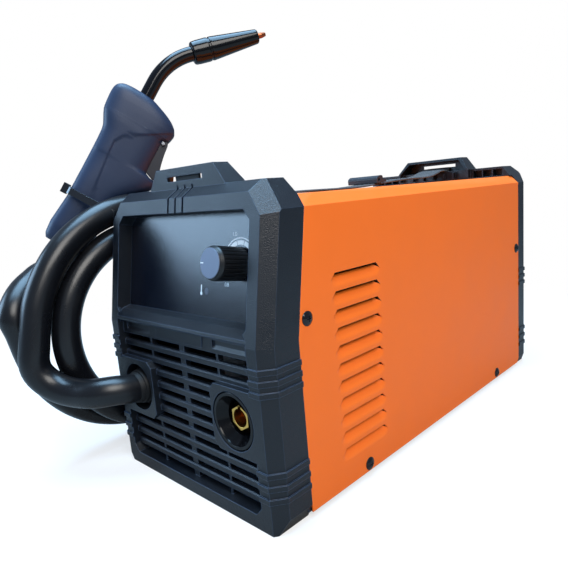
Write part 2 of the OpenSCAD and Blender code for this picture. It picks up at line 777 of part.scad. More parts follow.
module socket_nut() {
  color([0.7, 0.55, 0.25]) place() translate([boss_x, socket_l + 11.1, boss_z]) rotate([-90, 0, 0]) difference() {
    cylinder(r = 8, h = 6, $fn = 6);
    translate([0, 0, -1]) cylinder(r = 4.1, h = 8);
  }
}

// Clamp that holds the torch hose behind the hole.
module hose_gland() {
  color([0.07, 0.07, 0.08]) place() translate([-boss_x, 0, boss_z]) rotate([-90, 0, 0]) difference() {
    union() {
      translate([0, 0, web_depth + 1]) cylinder(r = hose_hole_r - 0.3, h = 12);
      translate([0, 0, web_depth + 3.2]) cylinder(r = hose_hole_r + 3, h = 6);
    }
    translate([0, 0, web_depth]) cylinder(r = 6.2, h = 30);
  }
}

// Core of the torch hose between the feeder and the clamp.
module torch_conduit() {
  color([0.1, 0.1, 0.11]) place() difference() {
    rod_y(6, web_depth + 1.5, roll_y - 52, feed_x, feed_z);
    rod_y(1.2, web_depth, roll_y - 40, feed_x, feed_z);
  }
}

// ---------- wire feed ----------

module feed_bracket() {
  z = feed_z;
  color([0.55, 0.57, 0.6]) place() difference() {
    union() {
      box([feed_x + roll_w / 2 + 1, roll_y - 34, z - 26], [wall_x - sheet - 12, roll_y + 34, z + 34]);
      // blocks that carry the guides on the wire's line
      box([feed_x - 6, roll_y - 34, z - 8], [feed_x + roll_w / 2 + 2, roll_y - 19, z + 7]);
      box([feed_x - 6, roll_y + 18, z - 8], [feed_x + roll_w / 2 + 2, roll_y + 34, z + 7]);
      rod_x(3, feed_x - 8, feed_x + 8, arm_pivot.x, arm_pivot.y);
      // ear for the tension rod
      rod_x(4, feed_x - 5, feed_x + 7, rod_at.x, rod_at.y);
    }
    rod_x(7.3, feed_x, wall_x, roll_y, z - drive_r);
    rod_y(2.55, roll_y - 60, roll_y + 60, feed_x, z);
  }
}

module feed_motor() {
  z = feed_z - drive_r;
  x1 = wall_x - sheet;
  color([0.42, 0.44, 0.47]) place() difference() {
    union() {
      box([x1 - 11.9, roll_y - 22, z - 22], [x1 - 0.1, roll_y + 22, z + 22]);
      rod_x(7, x1 - 1, wall_x + 1, roll_y, z);
      rod_x(19, wall_x + 0.2, wall_x + 58, roll_y, z);
      rod_x(5, feed_x - roll_w / 2 - 3, x1 - 11, roll_y, z);
    }
  }
}

module drive_roll() {
  z = feed_z - drive_r;
  color([0.6, 0.6, 0.62]) place() difference() {
    union() {
      rod_x(drive_r, feed_x - roll_w / 2, feed_x + roll_w / 2 - 0.4, roll_y, z);
    }
    rod_x(5 + roll_gap, feed_x - 20, feed_x + 20, roll_y, z);
    // wire groove
    translate([feed_x - 0.2, roll_y, z]) rotate([0, 90, 0]) rotate_extrude()
      translate([drive_r, 0]) circle(r = 0.6, $fn = 16);
    for (a = [0:60:300]) translate([0, roll_y, z]) rotate([a, 0, 0])
      translate([0, 0, 8.4]) rod_x(1.3, feed_x - 20, feed_x - roll_w / 2 + 2, 0, 0, $fn = 24);
  }
}

module pressure_arm() {
  z = arm_pivot.y;
  color([0.75, 0.2, 0.1]) place() difference() {
    union() {
      rod_x(6, feed_x - 7, feed_x + 5, arm_pivot.x, z);
      along_x(feed_x - 7, feed_x + 5) polygon([[roll_y - 33, z + 3], [roll_y - 33, z + 9], [arm_pivot.x, z + 6],
        [arm_pivot.x + 5, z + 1], [arm_pivot.x - 3, z - 6], [roll_y + 12, z - 2]]);
    }
    rod_x(3 + roll_gap, feed_x - 20, feed_x + 20, arm_pivot.x, z);
    rod_x(2 + roll_gap, feed_x - 20, feed_x + 20, roll_y, feed_z + pressure_r + wire_d);
    // slot for the roll, and slot for the tension rod
    box([feed_x - 5.4, roll_y - 14, z - 40], [feed_x + 3.4, roll_y + 13.5, z + 20]);
    box([feed_x - 3.4, roll_y - 40, z - 10], [feed_x + 1.4, roll_y - 23.5, z + 20]);
  }
}

module pressure_roll() {
  z = feed_z + pressure_r + wire_d;
  color([0.62, 0.62, 0.64]) place() {
    rod_x(pressure_r, feed_x - 5, feed_x + 3, roll_y, z);
    rod_x(2, feed_x - 6.9, feed_x + 4.9, roll_y, z);
  }
}

// Space of the tension rod, swung forward off the arm; z runs along the rod from its pin.
module on_rod() {
  translate([feed_x - 1, rod_at.x, rod_at.y]) rotate([rod_swing, 0, 0]) children();
}

module tension_rod() {
  color([0.7, 0.7, 0.72]) place() on_rod() difference() {
    union() {
      cylinder(r = 1.9, h = rod_l);
      rod_x(7, -2.2, 2.2, 0, 0);
    }
    rod_x(4 + roll_gap, -9, 9, 0, 0);
  }
}

module tension_knob() {
  z0 = arm_pivot.y + 10.6 - rod_at.y;
  color([0.06, 0.06, 0.07]) place() on_rod() difference() {
    union() {
      translate([0, 0, z0]) cylinder(r = 4.6, h = 6);
      translate([0, 0, z0 + 6]) cylinder(r = 8, h = rod_l - z0 - 4);
    }
    translate([0, 0, z0 - 1]) cylinder(r = 1.9 + roll_gap, h = rod_l - z0 + 1.1);
    for (i = [0:11]) rotate([0, 0, 30 * i]) translate([8.3, 0, z0 + 8]) cylinder(r = 1, h = rod_l, $fn = 16);
  }
}

module wire_guides() {
  color([0.85, 0.65, 0.3]) place() for (y = [[roll_y - 52, roll_y - 15.5], [roll_y + 14.5, roll_y + 42]])
    difference() {
      union() {
        rod_y(2.5, y[0] + e, y[1], feed_x, feed_z);
        if (y[0] < roll_y) rod_y(8, y[0] + e, y[0] + 17, feed_x, feed_z);
      }
      rod_y(0.8, y[0] - 1, y[1] + 1, feed_x, feed_z);
    }
}

module wire_spool() {
  color([0.1, 0.1, 0.11]) place() translate([spool_x, spool_y, spool_z]) rotate([0, 90, 0]) difference() {
    union() {
      cylinder(r = spool_r, h = 2.5);
      translate([0, 0, spool_w - 2.5]) cylinder(r = spool_r, h = 2.5);
      cylinder(r = 20, h = spool_w);
    }
    translate([0, 0, -1]) cylinder(r = spindle_r + 0.06, h = spool_w + 2);
    for (a = [0:60:300]) rotate([0, 0, a]) translate([34, 0, -1]) cylinder(r = 7, h = 4);
    difference() {
      translate([0, 0, -1]) cylinder(r = 17.5, h = spool_w - 2);
      translate([0, 0, -2]) cylinder(r = spindle_r + 2.5, h = spool_w);
    }
  }
}

module wire_winding() {
  color([0.55, 0.5, 0.45]) place() translate([spool_x + 2.6, spool_y, spool_z]) rotate([0, 90, 0]) difference() {
    cylinder(r = spool_r - 9, h = spool_w - 5.2);
    translate([0, 0, -1]) cylinder(r = 20, h = spool_w);
  }
}

module spool_spindle() {
  x1 = wall_x - sheet;
  color([0.16, 0.16, 0.17]) place() {
    rod_x(spindle_r, spool_x - 12, x1 - e, spool_y, spool_z);
    rod_x(18, spool_x + spool_w + 0.3, x1, spool_y, spool_z);
    rod_x(spindle_r - 2.2, x1 - e, wall_x + 3, spool_y, spool_z);
  }
}

module spool_nut() {
  color([0.85, 0.4, 0.12]) place() difference() {
    union() {
      rod_x(14, spool_x - 10, spool_x - 0.4, spool_y, spool_z);
      box([spool_x - 10, spool_y - 20, spool_z - 3], [spool_x - 3, spool_y + 20, spool_z + 3]);
    }
    rod_x(spindle_r + 0.05, spool_x - 20, spool_x + 2, spool_y, spool_z);
  }
}

// ---------- inverter ----------

// A place on the board that carries the inverter: distance before its rear edge, and height.
function board_y(d) = board.x - d;
function board_z(v) = 22 + (v - 22) * board_k;

module power_board() {
  color([0.1, 0.35, 0.18]) place() {
    box([wall_x + 5, board_y(138), board_z(22)], [wall_x + 6.6, board_y(0), board_z(196)]);
    for (d = [8, 130], v = [30, 188]) rod_x(3, wall_x, wall_x + 5.1, board_y(d), board_z(v));
  }
}

module heat_sinks() {
  x = wall_x + 6.6;
  pitch = 3.7 * board_k;
  color([0.66, 0.67, 0.7]) place() for (v = [128, 166]) {
    box([x, board_y(128), board_z(v)], [x + 5, board_y(24), board_z(v) + 7.6 * pitch]);
    for (i = [0:7]) box([x + 5 - e, board_y(128), board_z(v) + 0.2 + pitch * i],
      [x + 30, board_y(24), board_z(v) + 1.8 + pitch * i]);
  }
}

module transformer() {
  x = wall_x + 6.6;
  color([0.75, 0.6, 0.2]) place() {
    difference() {
      box([x, board_y(74), board_z(62)], [x + 46, board_y(22), board_z(112)]);
      for (u = [11, 27]) box([x + u, board_y(75), board_z(73)], [x + u + 8, board_y(21), board_z(101)]);
    }
    box([x + 19 - e, board_y(82), board_z(75)], [x + 27 + e, board_y(14), board_z(99)]);
  }
}

module output_choke() {
  color([0.55, 0.25, 0.1]) place() translate([hw - 57, roll_y - 52, tray_z + sheet]) {
    rotate_extrude() translate([26, 13]) circle(r = 13);
    cylinder(r = 4, h = 32);
    translate([0, 0, 25.2]) cylinder(r = 24, h = 2);
    cylinder(r = 24, h = 1);
  }
}

module capacitors() {
  x = wall_x + 6.6;
  color([0.15, 0.18, 0.35]) place() for (i = [0:2]) rod_x(12.5, x, x + 42, board_y(58 + 27 * i), board_z(38));
}

module fan_frame() {
  h = fan_w / 2;
  y1 = fan_y + fan_t;
  color([0.08, 0.08, 0.09]) place() difference() {
    translate([fan_x, 0, fan_z]) difference() {
      box([-h, fan_y, -h], [h, y1, h]);
      rod_y(h - 2.5, fan_y - 1, y1 + 1, 0, 0);
    }
  }
  color([0.08, 0.08, 0.09]) place() translate([fan_x, 0, fan_z]) {
    difference() {
      union() {
        rod_y(hub_r, y1 - 5, y1, 0, 0);
        for (a = [0:90:270]) rotate([0, a + 45, 0]) box([hub_r - 2, y1 - 4, -2], [h - 1, y1, 2]);
      }
      rod_y(2 + roll_gap, fan_y, y1 - 1.5, 0, 0);
    }
  }
}

module fan_rotor() {
  y1 = fan_y + fan_t;
  color([0.12, 0.12, 0.13]) place() translate([fan_x, 0, fan_z]) {
    rod_y(hub_r + 1, fan_y + 1.5, y1 - 5.8, 0, 0);
    rod_y(2, y1 - 6, y1 - 2, 0, 0);
    intersection() {
      for (i = [0:blades - 1]) rotate([0, i * 360 / blades, 0])
        translate([0, fan_y + fan_t / 2 - 2, 0]) rotate([0, 0, 38]) box([-9, -0.8, hub_r], [9, 0.8, fan_w / 2]);
      rod_y(fan_w / 2 - 4, fan_y + 2, y1 - 6.5, 0, 0);
    }
  }
}

// ---------- rear fittings ----------

module switch_body() {
  color([0.05, 0.05, 0.06]) place() difference() {
    union() {
      box([switch_x - 11, body_l - 24, switch_z - 14], [switch_x + 11, body_l + 0.1, switch_z + 14]);
      box([switch_x - 13, body_l, switch_z - 16], [switch_x + 13, body_l + 2, switch_z + 16]);
    }
    box([switch_x - 9, body_l - 12, switch_z - 12], [switch_x + 9, body_l + 3, switch_z + 12]);
    rod_x(1.25, switch_x - 10, switch_x + 10, rocker_y, switch_z);
  }
}

module switch_rocker() {
  color([0.75, 0.1, 0.08]) place() {
    along_x(switch_x - 8.7, switch_x + 8.7)
      translate([rocker_y, switch_z]) polygon([[-4, -8.5], [2.2, -11.2], [3.2, -10.6], [3.0, 0], [6.2, 10.2],
        [5.2, 11.2], [-2, 9.5], [-5, 0]]);
    rod_x(1.2, switch_x - 9.8, switch_x + 9.8, rocker_y, switch_z);
  }
}

module mains_gland() {
  color([0.06, 0.06, 0.07]) place() translate([gland_x, 0, switch_z]) difference() {
    union() {
      rod_y(8, body_l - 12, body_l + 1, 0, 0);
      translate([0, body_l, 0]) rotate([-90, 30, 0]) cylinder(r = 12, h = 5, $fn = 6);
      translate([0, body_l + 5 - e, 0]) rotate([-90, 0, 0]) cylinder(r1 = 10.5, r2 = 8, h = 12);
      translate([0, body_l - wall - 5.6, 0]) rotate([-90, 30, 0]) cylinder(r = 12, h = 5.5, $fn = 6);
    }
    rod_y(4.2, body_l - 20, body_l + 30, 0, 0);
  }
}

// ---------- carrying strap ----------

// The strap's path in y and z, along the middle of its thickness.
buckle_y = rear_seam - 153;
buckle_l = 16;
strap_path = [[horn_y + wall + strap_t / 2, bezel_h + 4.4], [horn_y + wall + 3.6, bezel_h + 1.6],
    [seam_y(cover_h) - 2, bezel_h + 1.4], [seam_y(cover_h) + 4, bezel_h - 2], [seam_y(cover_h) + 12, cover_h + 3],
    [seam_y(cover_h) + 22, cover_h + 1.2], [buckle_y - 27, cover_h + 1.2], [buckle_y, cover_h + 2.2],
    [buckle_y + buckle_l, cover_h + 3.2], [rear_seam - 73, cover_h + 6], [rear_seam - 28, bezel_h - 1.6],
    [rear_seam - 9, bezel_h + 1.4], [rear_seam + 7.5 - wall - 3.4, bezel_h + 1.6],
    [rear_seam + 7.5 - wall - strap_t / 2 - 0.1, bezel_h + 4.6]];

function path_dir(p, i) = let (a = p[max(0, i - 1)], b = p[min(len(p) - 1, i + 1)], d = b - a) d / norm(d);
function path_side(p, t) = [for (i = [0:len(p) - 1]) let (d = path_dir(p, i)) p[i] + t * [-d.y, d.x]];
function flip(p) = [for (i = [len(p) - 1:-1:0]) p[i]];

module carry_strap() {
  color([0.05, 0.05, 0.06]) place() along_x(-strap_w / 2, strap_w / 2)
    polygon(concat(path_side(strap_path, strap_t / 2), flip(path_side(strap_path, -strap_t / 2))));
}

module strap_buckle() {
  w = strap_w / 2 + 3;
  l = buckle_l;
  slope = atan(1 / l);
  color([0.22, 0.25, 0.3]) place() translate([0, buckle_y, cover_h + 2.2 + strap_t / 2 + 0.3]) rotate([slope, 0, 0])
    difference() {
      along_x(-w, w) polygon([[0, 0.4], [0.6, 0], [l, 0], [l, 2.4], [l - 5, 3.6], [l - 6, 6.4], [l - 8, 7.2],
        [4, 7.2], [0.8, 5.6], [0, 4]]);
      // loop for the webbing, and the gap under the cam
      along_x(-w - 1, w + 1) polygon([[2, 1.8], [5.4, 1.8], [5.4, 4.6], [3, 4.6], [2, 3.8]]);
      box([-strap_w / 2 - 0.6, l - 4.4, -1], [strap_w / 2 + 0.6, l - 2, 8]);
      along_x(-w + 2.4, w - 2.4) polygon([[5.9, 8], [5.9, 4.4], [l - 7.2, 4.4], [l - 7.2, 8]]);
    }
}

// ---------- torch ----------

// Torch space: x runs up the handle, -z is the trigger side.
module on_torch() {
  translate(torch_at) rotate([0, 0, torch_turn]) rotate([0, -torch_rise, 0]) children();
}

// Stations of the handle: distance up, back edge, front edge, how much thinner than its full half thickness.
handle_stations = [[-15, -13, 20, 3.5], [-11, -15, 23, 1.5], [0, -15.6, 24, 0], [12, -14.4, 24, 0],
    [26, -13, 24.5, 0], [38, -13, 25.5, 0], [45, -13, 28.5, 0], [51, -12.9, 33.5, 0], [57, -12.9, 39.8, 0],
    [63, -12.9, 46, 0], [67.5, -12.9, 48.8, 0], [72, -12.9, 48.6, 0], [73.6, -12.9, 46, 0], [76, -12.9, 37.2, 0],
    [84, -13, 37, 0], [92, -13.3, 37, 0], [96, -14, 37, 0], [99, -15.2, 37, 0], [105, -18, 37, 0],
    [109, -19.6, 37.6, 0.2], [112, -20.2, 42.4, 0.3], [119, -20.8, 43.8, 0.6], [124.5, -21, 41, 1],
    [128.5, -20.8, 36.2, 1.6], [131.7, -20.2, 30, 2.4], [134.5, -18.6, 22.6, 3.8], [137, -15, 16, 6.5],
    [138, -10, 12.5, 9.5]];

// Half of a rounded section, from its front to its back, at height s of the handle.
function half_section(h, side, n = 12) = [for (i = [0:n]) let (a = 180 * i / n, c = cos(a), m = (h[1] + h[2]) / 2,
    d = (h[2] - h[1]) / 2, k = 0.6) [h[0] * handle_k, side * (0.05 + (handle_hw - h[3] - 0.05) * pow(sin(a), k)),
    -m - d * sign(c) * pow(abs(c), k)]];

function ring_faces(rows, n) = [for (j = [0:rows - 2], i = [0:n - 1]) let (k = (i + 1) % n, a = j * n + i,
    b = j * n + k, c = a + n, d = b + n) each [[a, b, d], [a, d, c]]];

function caps(rows, n) = [[for (i = [n - 1:-1:0]) i], [for (i = [0:n - 1]) (rows - 1) * n + i]];

// Skin through rings of n points each, closed at both ends.
module skin(rings, flip_it = false) {
  n = len(rings[0]);
  faces = concat(ring_faces(len(rings), n), caps(len(rings), n));
  polyhedron([for (r = rings) each r], [for (f = faces) flip_it ? flip(f) : f], convexity = 6);
}

module handle_half(side) {
  difference() {
    skin([for (h = handle_stations) half_section(h, side)], side > 0);
    // bore for the boot and the neck
    translate([handle_end - 5, 0, -grip_t]) rotate([0, 90, 0]) cylinder(r = 10, h = 18);
    translate([handle_l - 24, 0, -neck_t]) rotate([0, 90, 0]) cylinder(r = neck_r, h = 40);
    // slot for the trigger, open at the front and at its free end
    along_y(-8, 8) polygon([[trigger_s - 37, -60], [trigger_s - 37, -37], [trigger_s - 32, -27],
      [trigger_s - 2, -27], [trigger_s + 0.6, -31], [trigger_s + 0.6, -60]]);
    rod_y(1.5, -11.5, 11.5, pivot.x, pivot.y);
  }
}

module torch_handle_left() {
  color([0.2, 0.23, 0.29]) place() on_torch() handle_half(1);
}

module torch_handle_right() {
  color([0.2, 0.23, 0.29]) place() on_torch() handle_half(-1);
}

module torch_trigger() {
  color([0.06, 0.07, 0.08]) place() on_torch() translate([trigger_s, 0, 0]) difference() {
    union() {
      along_y(-7.4, 7.4) polygon([[-0.4, -38], [-0.4, -41.6], [-4, -42.6], [-12, -43.4], [-20, -44.8], [-28, -46.6],
        [-34, -48.8], [-36.2, -48.4], [-36.4, -44], [-32, -33.6], [-22, -33], [-10, -33], [-3.4, -33.6]]);
      rod_y(3.4, -7.4, 7.4, pivot.x - trigger_s, pivot.y);
    }
    rod_y(1.5 + 0.04, -10, 10, pivot.x - trigger_s, pivot.y);
    // serrations on the front edge
    for (i = [0:7]) rod_y(0.7, -9, 9, -31 + 3.2 * i, -47.9 + 0.62 * i, $fn = 16);
  }
}

module trigger_pin() {
  color([0.7, 0.7, 0.72]) place() on_torch() rod_y(1.48, -11, 11, pivot.x, pivot.y);
}

module at_neck_end() {
  translate([neck_end.x, 0, neck_end.y]) rotate([0, 90 + neck_angle, 0]) children();
}

module neck_tube() {
  color([0.05, 0.05, 0.06]) place() on_torch() {
    translate([handle_l - 22, 0, -neck_t]) rotate([0, 90, 0]) cylinder(r = neck_r - 0.02, h = neck_s - handle_l + 22);
    translate([neck_s, 0, -neck_t - neck_bend]) rotate([90, 0, 0])
      rotate_extrude(angle = neck_angle, start = 90 - neck_angle) translate([neck_bend, 0]) circle(r = neck_r - 0.02);
    at_neck_end() cylinder(r = neck_r - 0.02, h = 2);
  }
}

module torch_nozzle() {
  k = nozzle_l - 2;
  color([0.04, 0.04, 0.05]) place() on_torch() at_neck_end() translate([0, 0, 2]) difference() {
    rotate_extrude() polygon([[0, 0], [8, 0], [9.2, 0.5], [9.9, 1.6], [10.3, 6], [10.4, 15], [10.2, 16.2],
      [9.5, 16.5], [9.5, 17.7], [10.2, 18], [10.3, 19.4], [6.4, k - 1.2], [5.8, k - 0.3], [5.4, k], [0, k]]);
    translate([0, 0, k - 30]) cylinder(r = 3.4, h = 40);
  }
}

module contact_tip() {
  color([0.75, 0.4, 0.22]) place() on_torch() at_neck_end() translate([0, 0, nozzle_l - 30 + e]) difference() {
    union() {
      cylinder(r = 3.3, h = 20);
      cylinder(r = 2.6, h = 34);
      translate([0, 0, 34 - e]) cylinder(r1 = 2.6, r2 = 1.7, h = 4);
    }
    translate([0, 0, 8]) cylinder(r = 0.5, h = 40, $fn = 16);
  }
}

// Bend support where the hose enters the handle.
module handle_boot() {
  color([0.05, 0.05, 0.06]) place() on_torch() translate([handle_end - boot_l, 0, -grip_t]) rotate([0, 90, 0])
    difference() {
      union() {
        cylinder(r1 = hose_r, r2 = hose_r + 1.2, h = boot_l - 0.2);
        cylinder(r = 9.9, h = boot_l + 12);
      }
      translate([0, 0, 2]) cylinder(r = 5, h = boot_l + 20);
    }
}

// Cable tie round the handle and the hose's top turn, in a plane across the handle.
module tie_outline(g) {
  hull() {
    translate([-tie_hose.x, -tie_hose.y]) circle(r = tie_hose_r + g);
    offset(r = 7 + g) translate([-18, -handle_hw + 6.6]) square([-tie_back - 7 + 18, 2 * handle_hw - 13.2]);
  }
}

module cable_tie() {
  color([0.06, 0.06, 0.08]) place() on_torch() {
    translate([tie_s, 0, 0]) rotate([0, -90, 0]) linear_extrude(6, center = true) difference() {
      tie_outline(1.2);
      tie_outline(0);
    }
    translate([tie_s - 4.5, -7, -tie_back + 1]) cube([9, 10, 5]);
  }
}

// ---------- torch hose ----------

// One ring of n points round p, square to d; ref sets where the ring starts.
function hose_ring(p, d, n, ref) = let (w = cross(d, ref), u = w / norm(w), v = cross(d, u))
    [for (i = [0:n - 1]) p + hose_r * (cos(360 * i / n) * u + sin(360 * i / n) * v)];

function dir3(p, i) = let (d = p[min(len(p) - 1, i + 1)] - p[max(0, i - 1)]) d / norm(d);

module hose(points, n, ref) {
  skin([for (i = [0:len(points) - 1]) hose_ring(points[i], dir3(points, i), n, ref)], true);
}

// The coil's centreline after turning through a from its start.
function coil_radius(a) = a < coil_in ? coil_r - turn_step * a / 360
    : a < coil_in + 180 ? coil_min - 3.5 * sin(a - coil_in)
    : coil_min + (coil_r - coil_min) * (a - coil_in - 180) / coil_out;

function coil_layer(a) = coil_x - layer_step * (a < coil_in ? 0 : a < coil_in + 180
    ? (1 - cos(a - coil_in)) / 2 : 1);

function coil_point(a) = let (t = coil_start - a, r = coil_radius(a))
    [coil_layer(a), coil_y + r * cos(t), coil_z + r * sin(t)];

coil_loops = [for (i = [0:coil_steps]) coil_point(coil_turn * i / coil_steps)];

// Direction of the hose at angle t on the outer turn, where its radius grows by grow for a radian.
function coil_dir(t, grow) = let (d = [0, grow * cos(t) + coil_r * sin(t), grow * sin(t) - coil_r * cos(t)])
    d / norm(d);

coil_path = concat([coil_loops[0] - 2 * hose_r * coil_dir(coil_start, -turn_step / (2 * PI))], coil_loops,
    [coil_loops[coil_steps] + 2 * hose_r * coil_dir(coil_start - coil_turn,
      (coil_r - coil_min) * 180 / PI / coil_out)]);

// Least distance between turns: points more than a third of a turn apart, less one diameter.
coil_gap = min([for (i = [0:2:len(coil_path) - 1], j = [i + 9:1:len(coil_path) - 1])
    norm(coil_path[i] - coil_path[j])]) - 2 * hose_r;

// Free stretch from the clamp to the coil, and from the coil to the torch.
lead_start = [-boss_x, web_depth + 1, boss_z];
lead_route = [[-boss_x - 0.2, -8, boss_z + 0.9], [-boss_x - 3.2, -19.5, boss_z + 2.4],
    [-boss_x - 11.2, -30, boss_z + 2.4], [14 - hw, -37.5, boss_z + 2.4], [1 - hw, -45.5, boss_z + 5.4],
    [-hw - 8.5, -53.5, boss_z + 13.4], [-hw - 13, -58.5, boss_z + 24.4]];
tail_route = [for (p = [[-38.5, -114, 22.75], [-42.5, -108.5, 33.25], [-49, -99, 41.25], [-56, -87.5, 47.25],
    [-61, -77, 51.25]]) p + [-hw, coil_y, coil_z]];
torch_dir = [cos(torch_rise) * cos(torch_turn), cos(torch_rise) * sin(torch_turn), sin(torch_rise)];
torch_front = [sin(torch_rise) * cos(torch_turn), sin(torch_rise) * sin(torch_turn), -cos(torch_rise)];
tail_end = torch_at + (handle_end - boot_l) * torch_dir + grip_t * torch_front;

module hose_coil() {
  echo(coil_gap = coil_gap);
  color([0.05, 0.06, 0.07]) place() hose(coil_path, 6, [1, 0, 0]);
}

module hose_lead() {
  color([0.05, 0.06, 0.07]) place() hose(concat([lead_start, lead_start - [0, 8, 0]], lead_route,
    [coil_path[0] - 0.1 * (coil_path[1] - coil_path[0]), coil_path[0]]), 10, [1, 1, 1]);
}

module hose_tail() {
  end = len(coil_path) - 1;
  color([0.05, 0.06, 0.07]) place() hose(concat([coil_path[end], coil_path[end] + 0.15 * (coil_path[end] - coil_path[end - 1])],
    tail_route, [tail_end - 8 * torch_dir, tail_end]), 10, [1, 0, 0]);
}

front_bezel();
rear_bezel();
cover();
side_door();
door_hinge_pins();
door_magnets();
base_tray();
partition();
cover_screws();
control_panel();
speed_knob();
knob_shaft();
potentiometer();
thermal_lamp();
dinse_socket();
socket_brass();
socket_nut();
hose_gland();
torch_conduit();
feed_bracket();
feed_motor();
drive_roll();
pressure_arm();
pressure_roll();
tension_rod();
tension_knob();
wire_guides();
wire_spool();
wire_winding();
spool_spindle();
spool_nut();
power_board();
heat_sinks();
transformer();
output_choke();
capacitors();
fan_frame();
fan_rotor();
switch_body();
switch_rocker();
mains_gland();
carry_strap();
strap_buckle();
torch_handle_left();
torch_handle_right();
torch_trigger();
trigger_pin();
neck_tube();
torch_nozzle();
contact_tip();
handle_boot();
cable_tie();
hose_lead();
hose_coil();
hose_tail();
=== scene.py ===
# %% [markdown]
# # A compact wire-feed welding machine
# The machine is a steel cover between two moulded bezels, with a torch on a long rubber hose hung at its
# left side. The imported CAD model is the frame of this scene: every hard part that is right in it stays and
# gets a finish, and the soft or smoothly moulded parts are replaced by surfaces worked out with numpy.

# %% Frame and units
import math

import bmesh
import bpy
import numpy as np
from mathutils import Matrix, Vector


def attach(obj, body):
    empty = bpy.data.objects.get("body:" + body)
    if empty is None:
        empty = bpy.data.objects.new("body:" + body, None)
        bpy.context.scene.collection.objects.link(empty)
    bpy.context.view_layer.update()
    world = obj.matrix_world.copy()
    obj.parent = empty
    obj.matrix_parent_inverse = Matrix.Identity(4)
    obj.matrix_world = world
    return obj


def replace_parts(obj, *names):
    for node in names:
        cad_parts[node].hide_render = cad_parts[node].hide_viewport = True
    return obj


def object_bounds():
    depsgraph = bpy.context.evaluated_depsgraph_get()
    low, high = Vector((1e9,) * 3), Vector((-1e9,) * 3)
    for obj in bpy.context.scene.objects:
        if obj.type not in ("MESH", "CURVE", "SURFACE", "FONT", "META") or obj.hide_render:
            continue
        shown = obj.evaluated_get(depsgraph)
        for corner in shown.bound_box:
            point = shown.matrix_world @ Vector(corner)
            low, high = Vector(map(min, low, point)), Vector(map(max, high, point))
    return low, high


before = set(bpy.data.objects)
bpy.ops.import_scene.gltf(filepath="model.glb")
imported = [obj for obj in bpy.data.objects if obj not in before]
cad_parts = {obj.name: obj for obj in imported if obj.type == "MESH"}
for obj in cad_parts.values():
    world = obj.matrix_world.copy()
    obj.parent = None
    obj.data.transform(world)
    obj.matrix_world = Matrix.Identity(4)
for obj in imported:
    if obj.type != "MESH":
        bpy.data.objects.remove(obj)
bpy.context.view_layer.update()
MM = 0.001
FOOT = 15.5  # the drawing's front face is this many millimetres before the row's origin
SIDE = 97.0  # x of the body's right side in millimetres, half of its width
SAME_POINT = 2e-6  # points nearer to each other than this, in metres, are merged

# %% [markdown]
# ## Camera
# The machine is seen from its front right corner, a little from above, with the wide lens of a telephone.
# The camera is placed by its position and three angles, because they say more than a matrix does.


# %% Camera
def view_matrix(place, turn, tilt, roll):
    """Rows of a camera's 4x4 matrix. It looks along (-sin t cos e, cos t cos e, -sin e), for turn t and tilt
    e, and then rolls about that line."""
    t, e, r = (math.radians(a) for a in (turn, tilt, roll))
    ahead = np.array([-math.sin(t) * math.cos(e), math.cos(t) * math.cos(e), -math.sin(e)])
    right = np.array([math.cos(t), math.sin(t), 0.0])
    up = np.cross(right, ahead)
    m = np.eye(4)
    m[:3, 0] = math.cos(r) * right + math.sin(r) * up
    m[:3, 1] = -math.sin(r) * right + math.cos(r) * up
    m[:3, 2] = -ahead
    m[:3, 3] = place
    return Matrix(m.tolist())


PLACE, TURN, TILT, ROLL = (0.32207, -0.21392, 0.21758), 44.21, 10.59, -4.73  # metres and degrees
eye = bpy.data.cameras.new("camera")
camera = bpy.data.objects.new("camera", eye)
bpy.context.scene.collection.objects.link(camera)
camera.matrix_world = view_matrix(PLACE, TURN, TILT, ROLL)
eye.lens, eye.sensor_width = 33.154, 36.0
eye.shift_x, eye.shift_y = -0.0227, 0.0122
eye.clip_start = 0.01
bpy.context.scene.camera = camera
print("camera at", np.round(camera.location, 3).tolist(), "lens", eye.lens, "mm")

# %% [markdown]
# ## Surfaces
# Almost every new piece is one grid of points. A row is a ring round the piece, and the rows follow each
# other along it. A row that shrinks to one point closes an end, and merging equal points closes the seam.


# %% From a grid of points to a mesh
def row_frame(points):
    """Millimetres of the drawing to metres of the row: (x, y - FOOT, z) / 1000."""
    return (np.asarray(points, float) - (0, FOOT, 0)) * MM


def turned(axis, degrees):
    """4x4 matrix of a turn about x, y or z."""
    a, m = math.radians(degrees), np.eye(4)
    i, j = {"x": (1, 2), "y": (2, 0), "z": (0, 1)}[axis]
    m[i, i] = m[j, j] = math.cos(a)
    m[j, i], m[i, j] = math.sin(a), -math.sin(a)
    return m


def moved(x, y, z):
    """4x4 matrix of a move."""
    m = np.eye(4)
    m[:3, 3] = x, y, z
    return m


def placed(points, space):
    """Points of a space, in millimetres, brought into the row: p' = space p."""
    p = np.asarray(points, float)
    return row_frame(p @ space[:3, :3].T + space[:3, 3])


def grid_quads(rows, columns):
    """Corner numbers of the cells of a grid whose columns run round a ring."""
    i = np.arange(rows - 1)[:, None] * columns
    j = np.arange(columns)[None, :]
    ahead = (j + 1) % columns
    return np.stack([i + j, i + ahead, i + columns + ahead, i + columns + j], -1).reshape(-1, 4)


def shown(name, mesh, finish):
    """An object that shows a mesh in one finish."""
    mesh.materials.append(finish)
    made = bpy.data.objects.new(name, mesh)
    bpy.context.scene.collection.objects.link(made)
    return made


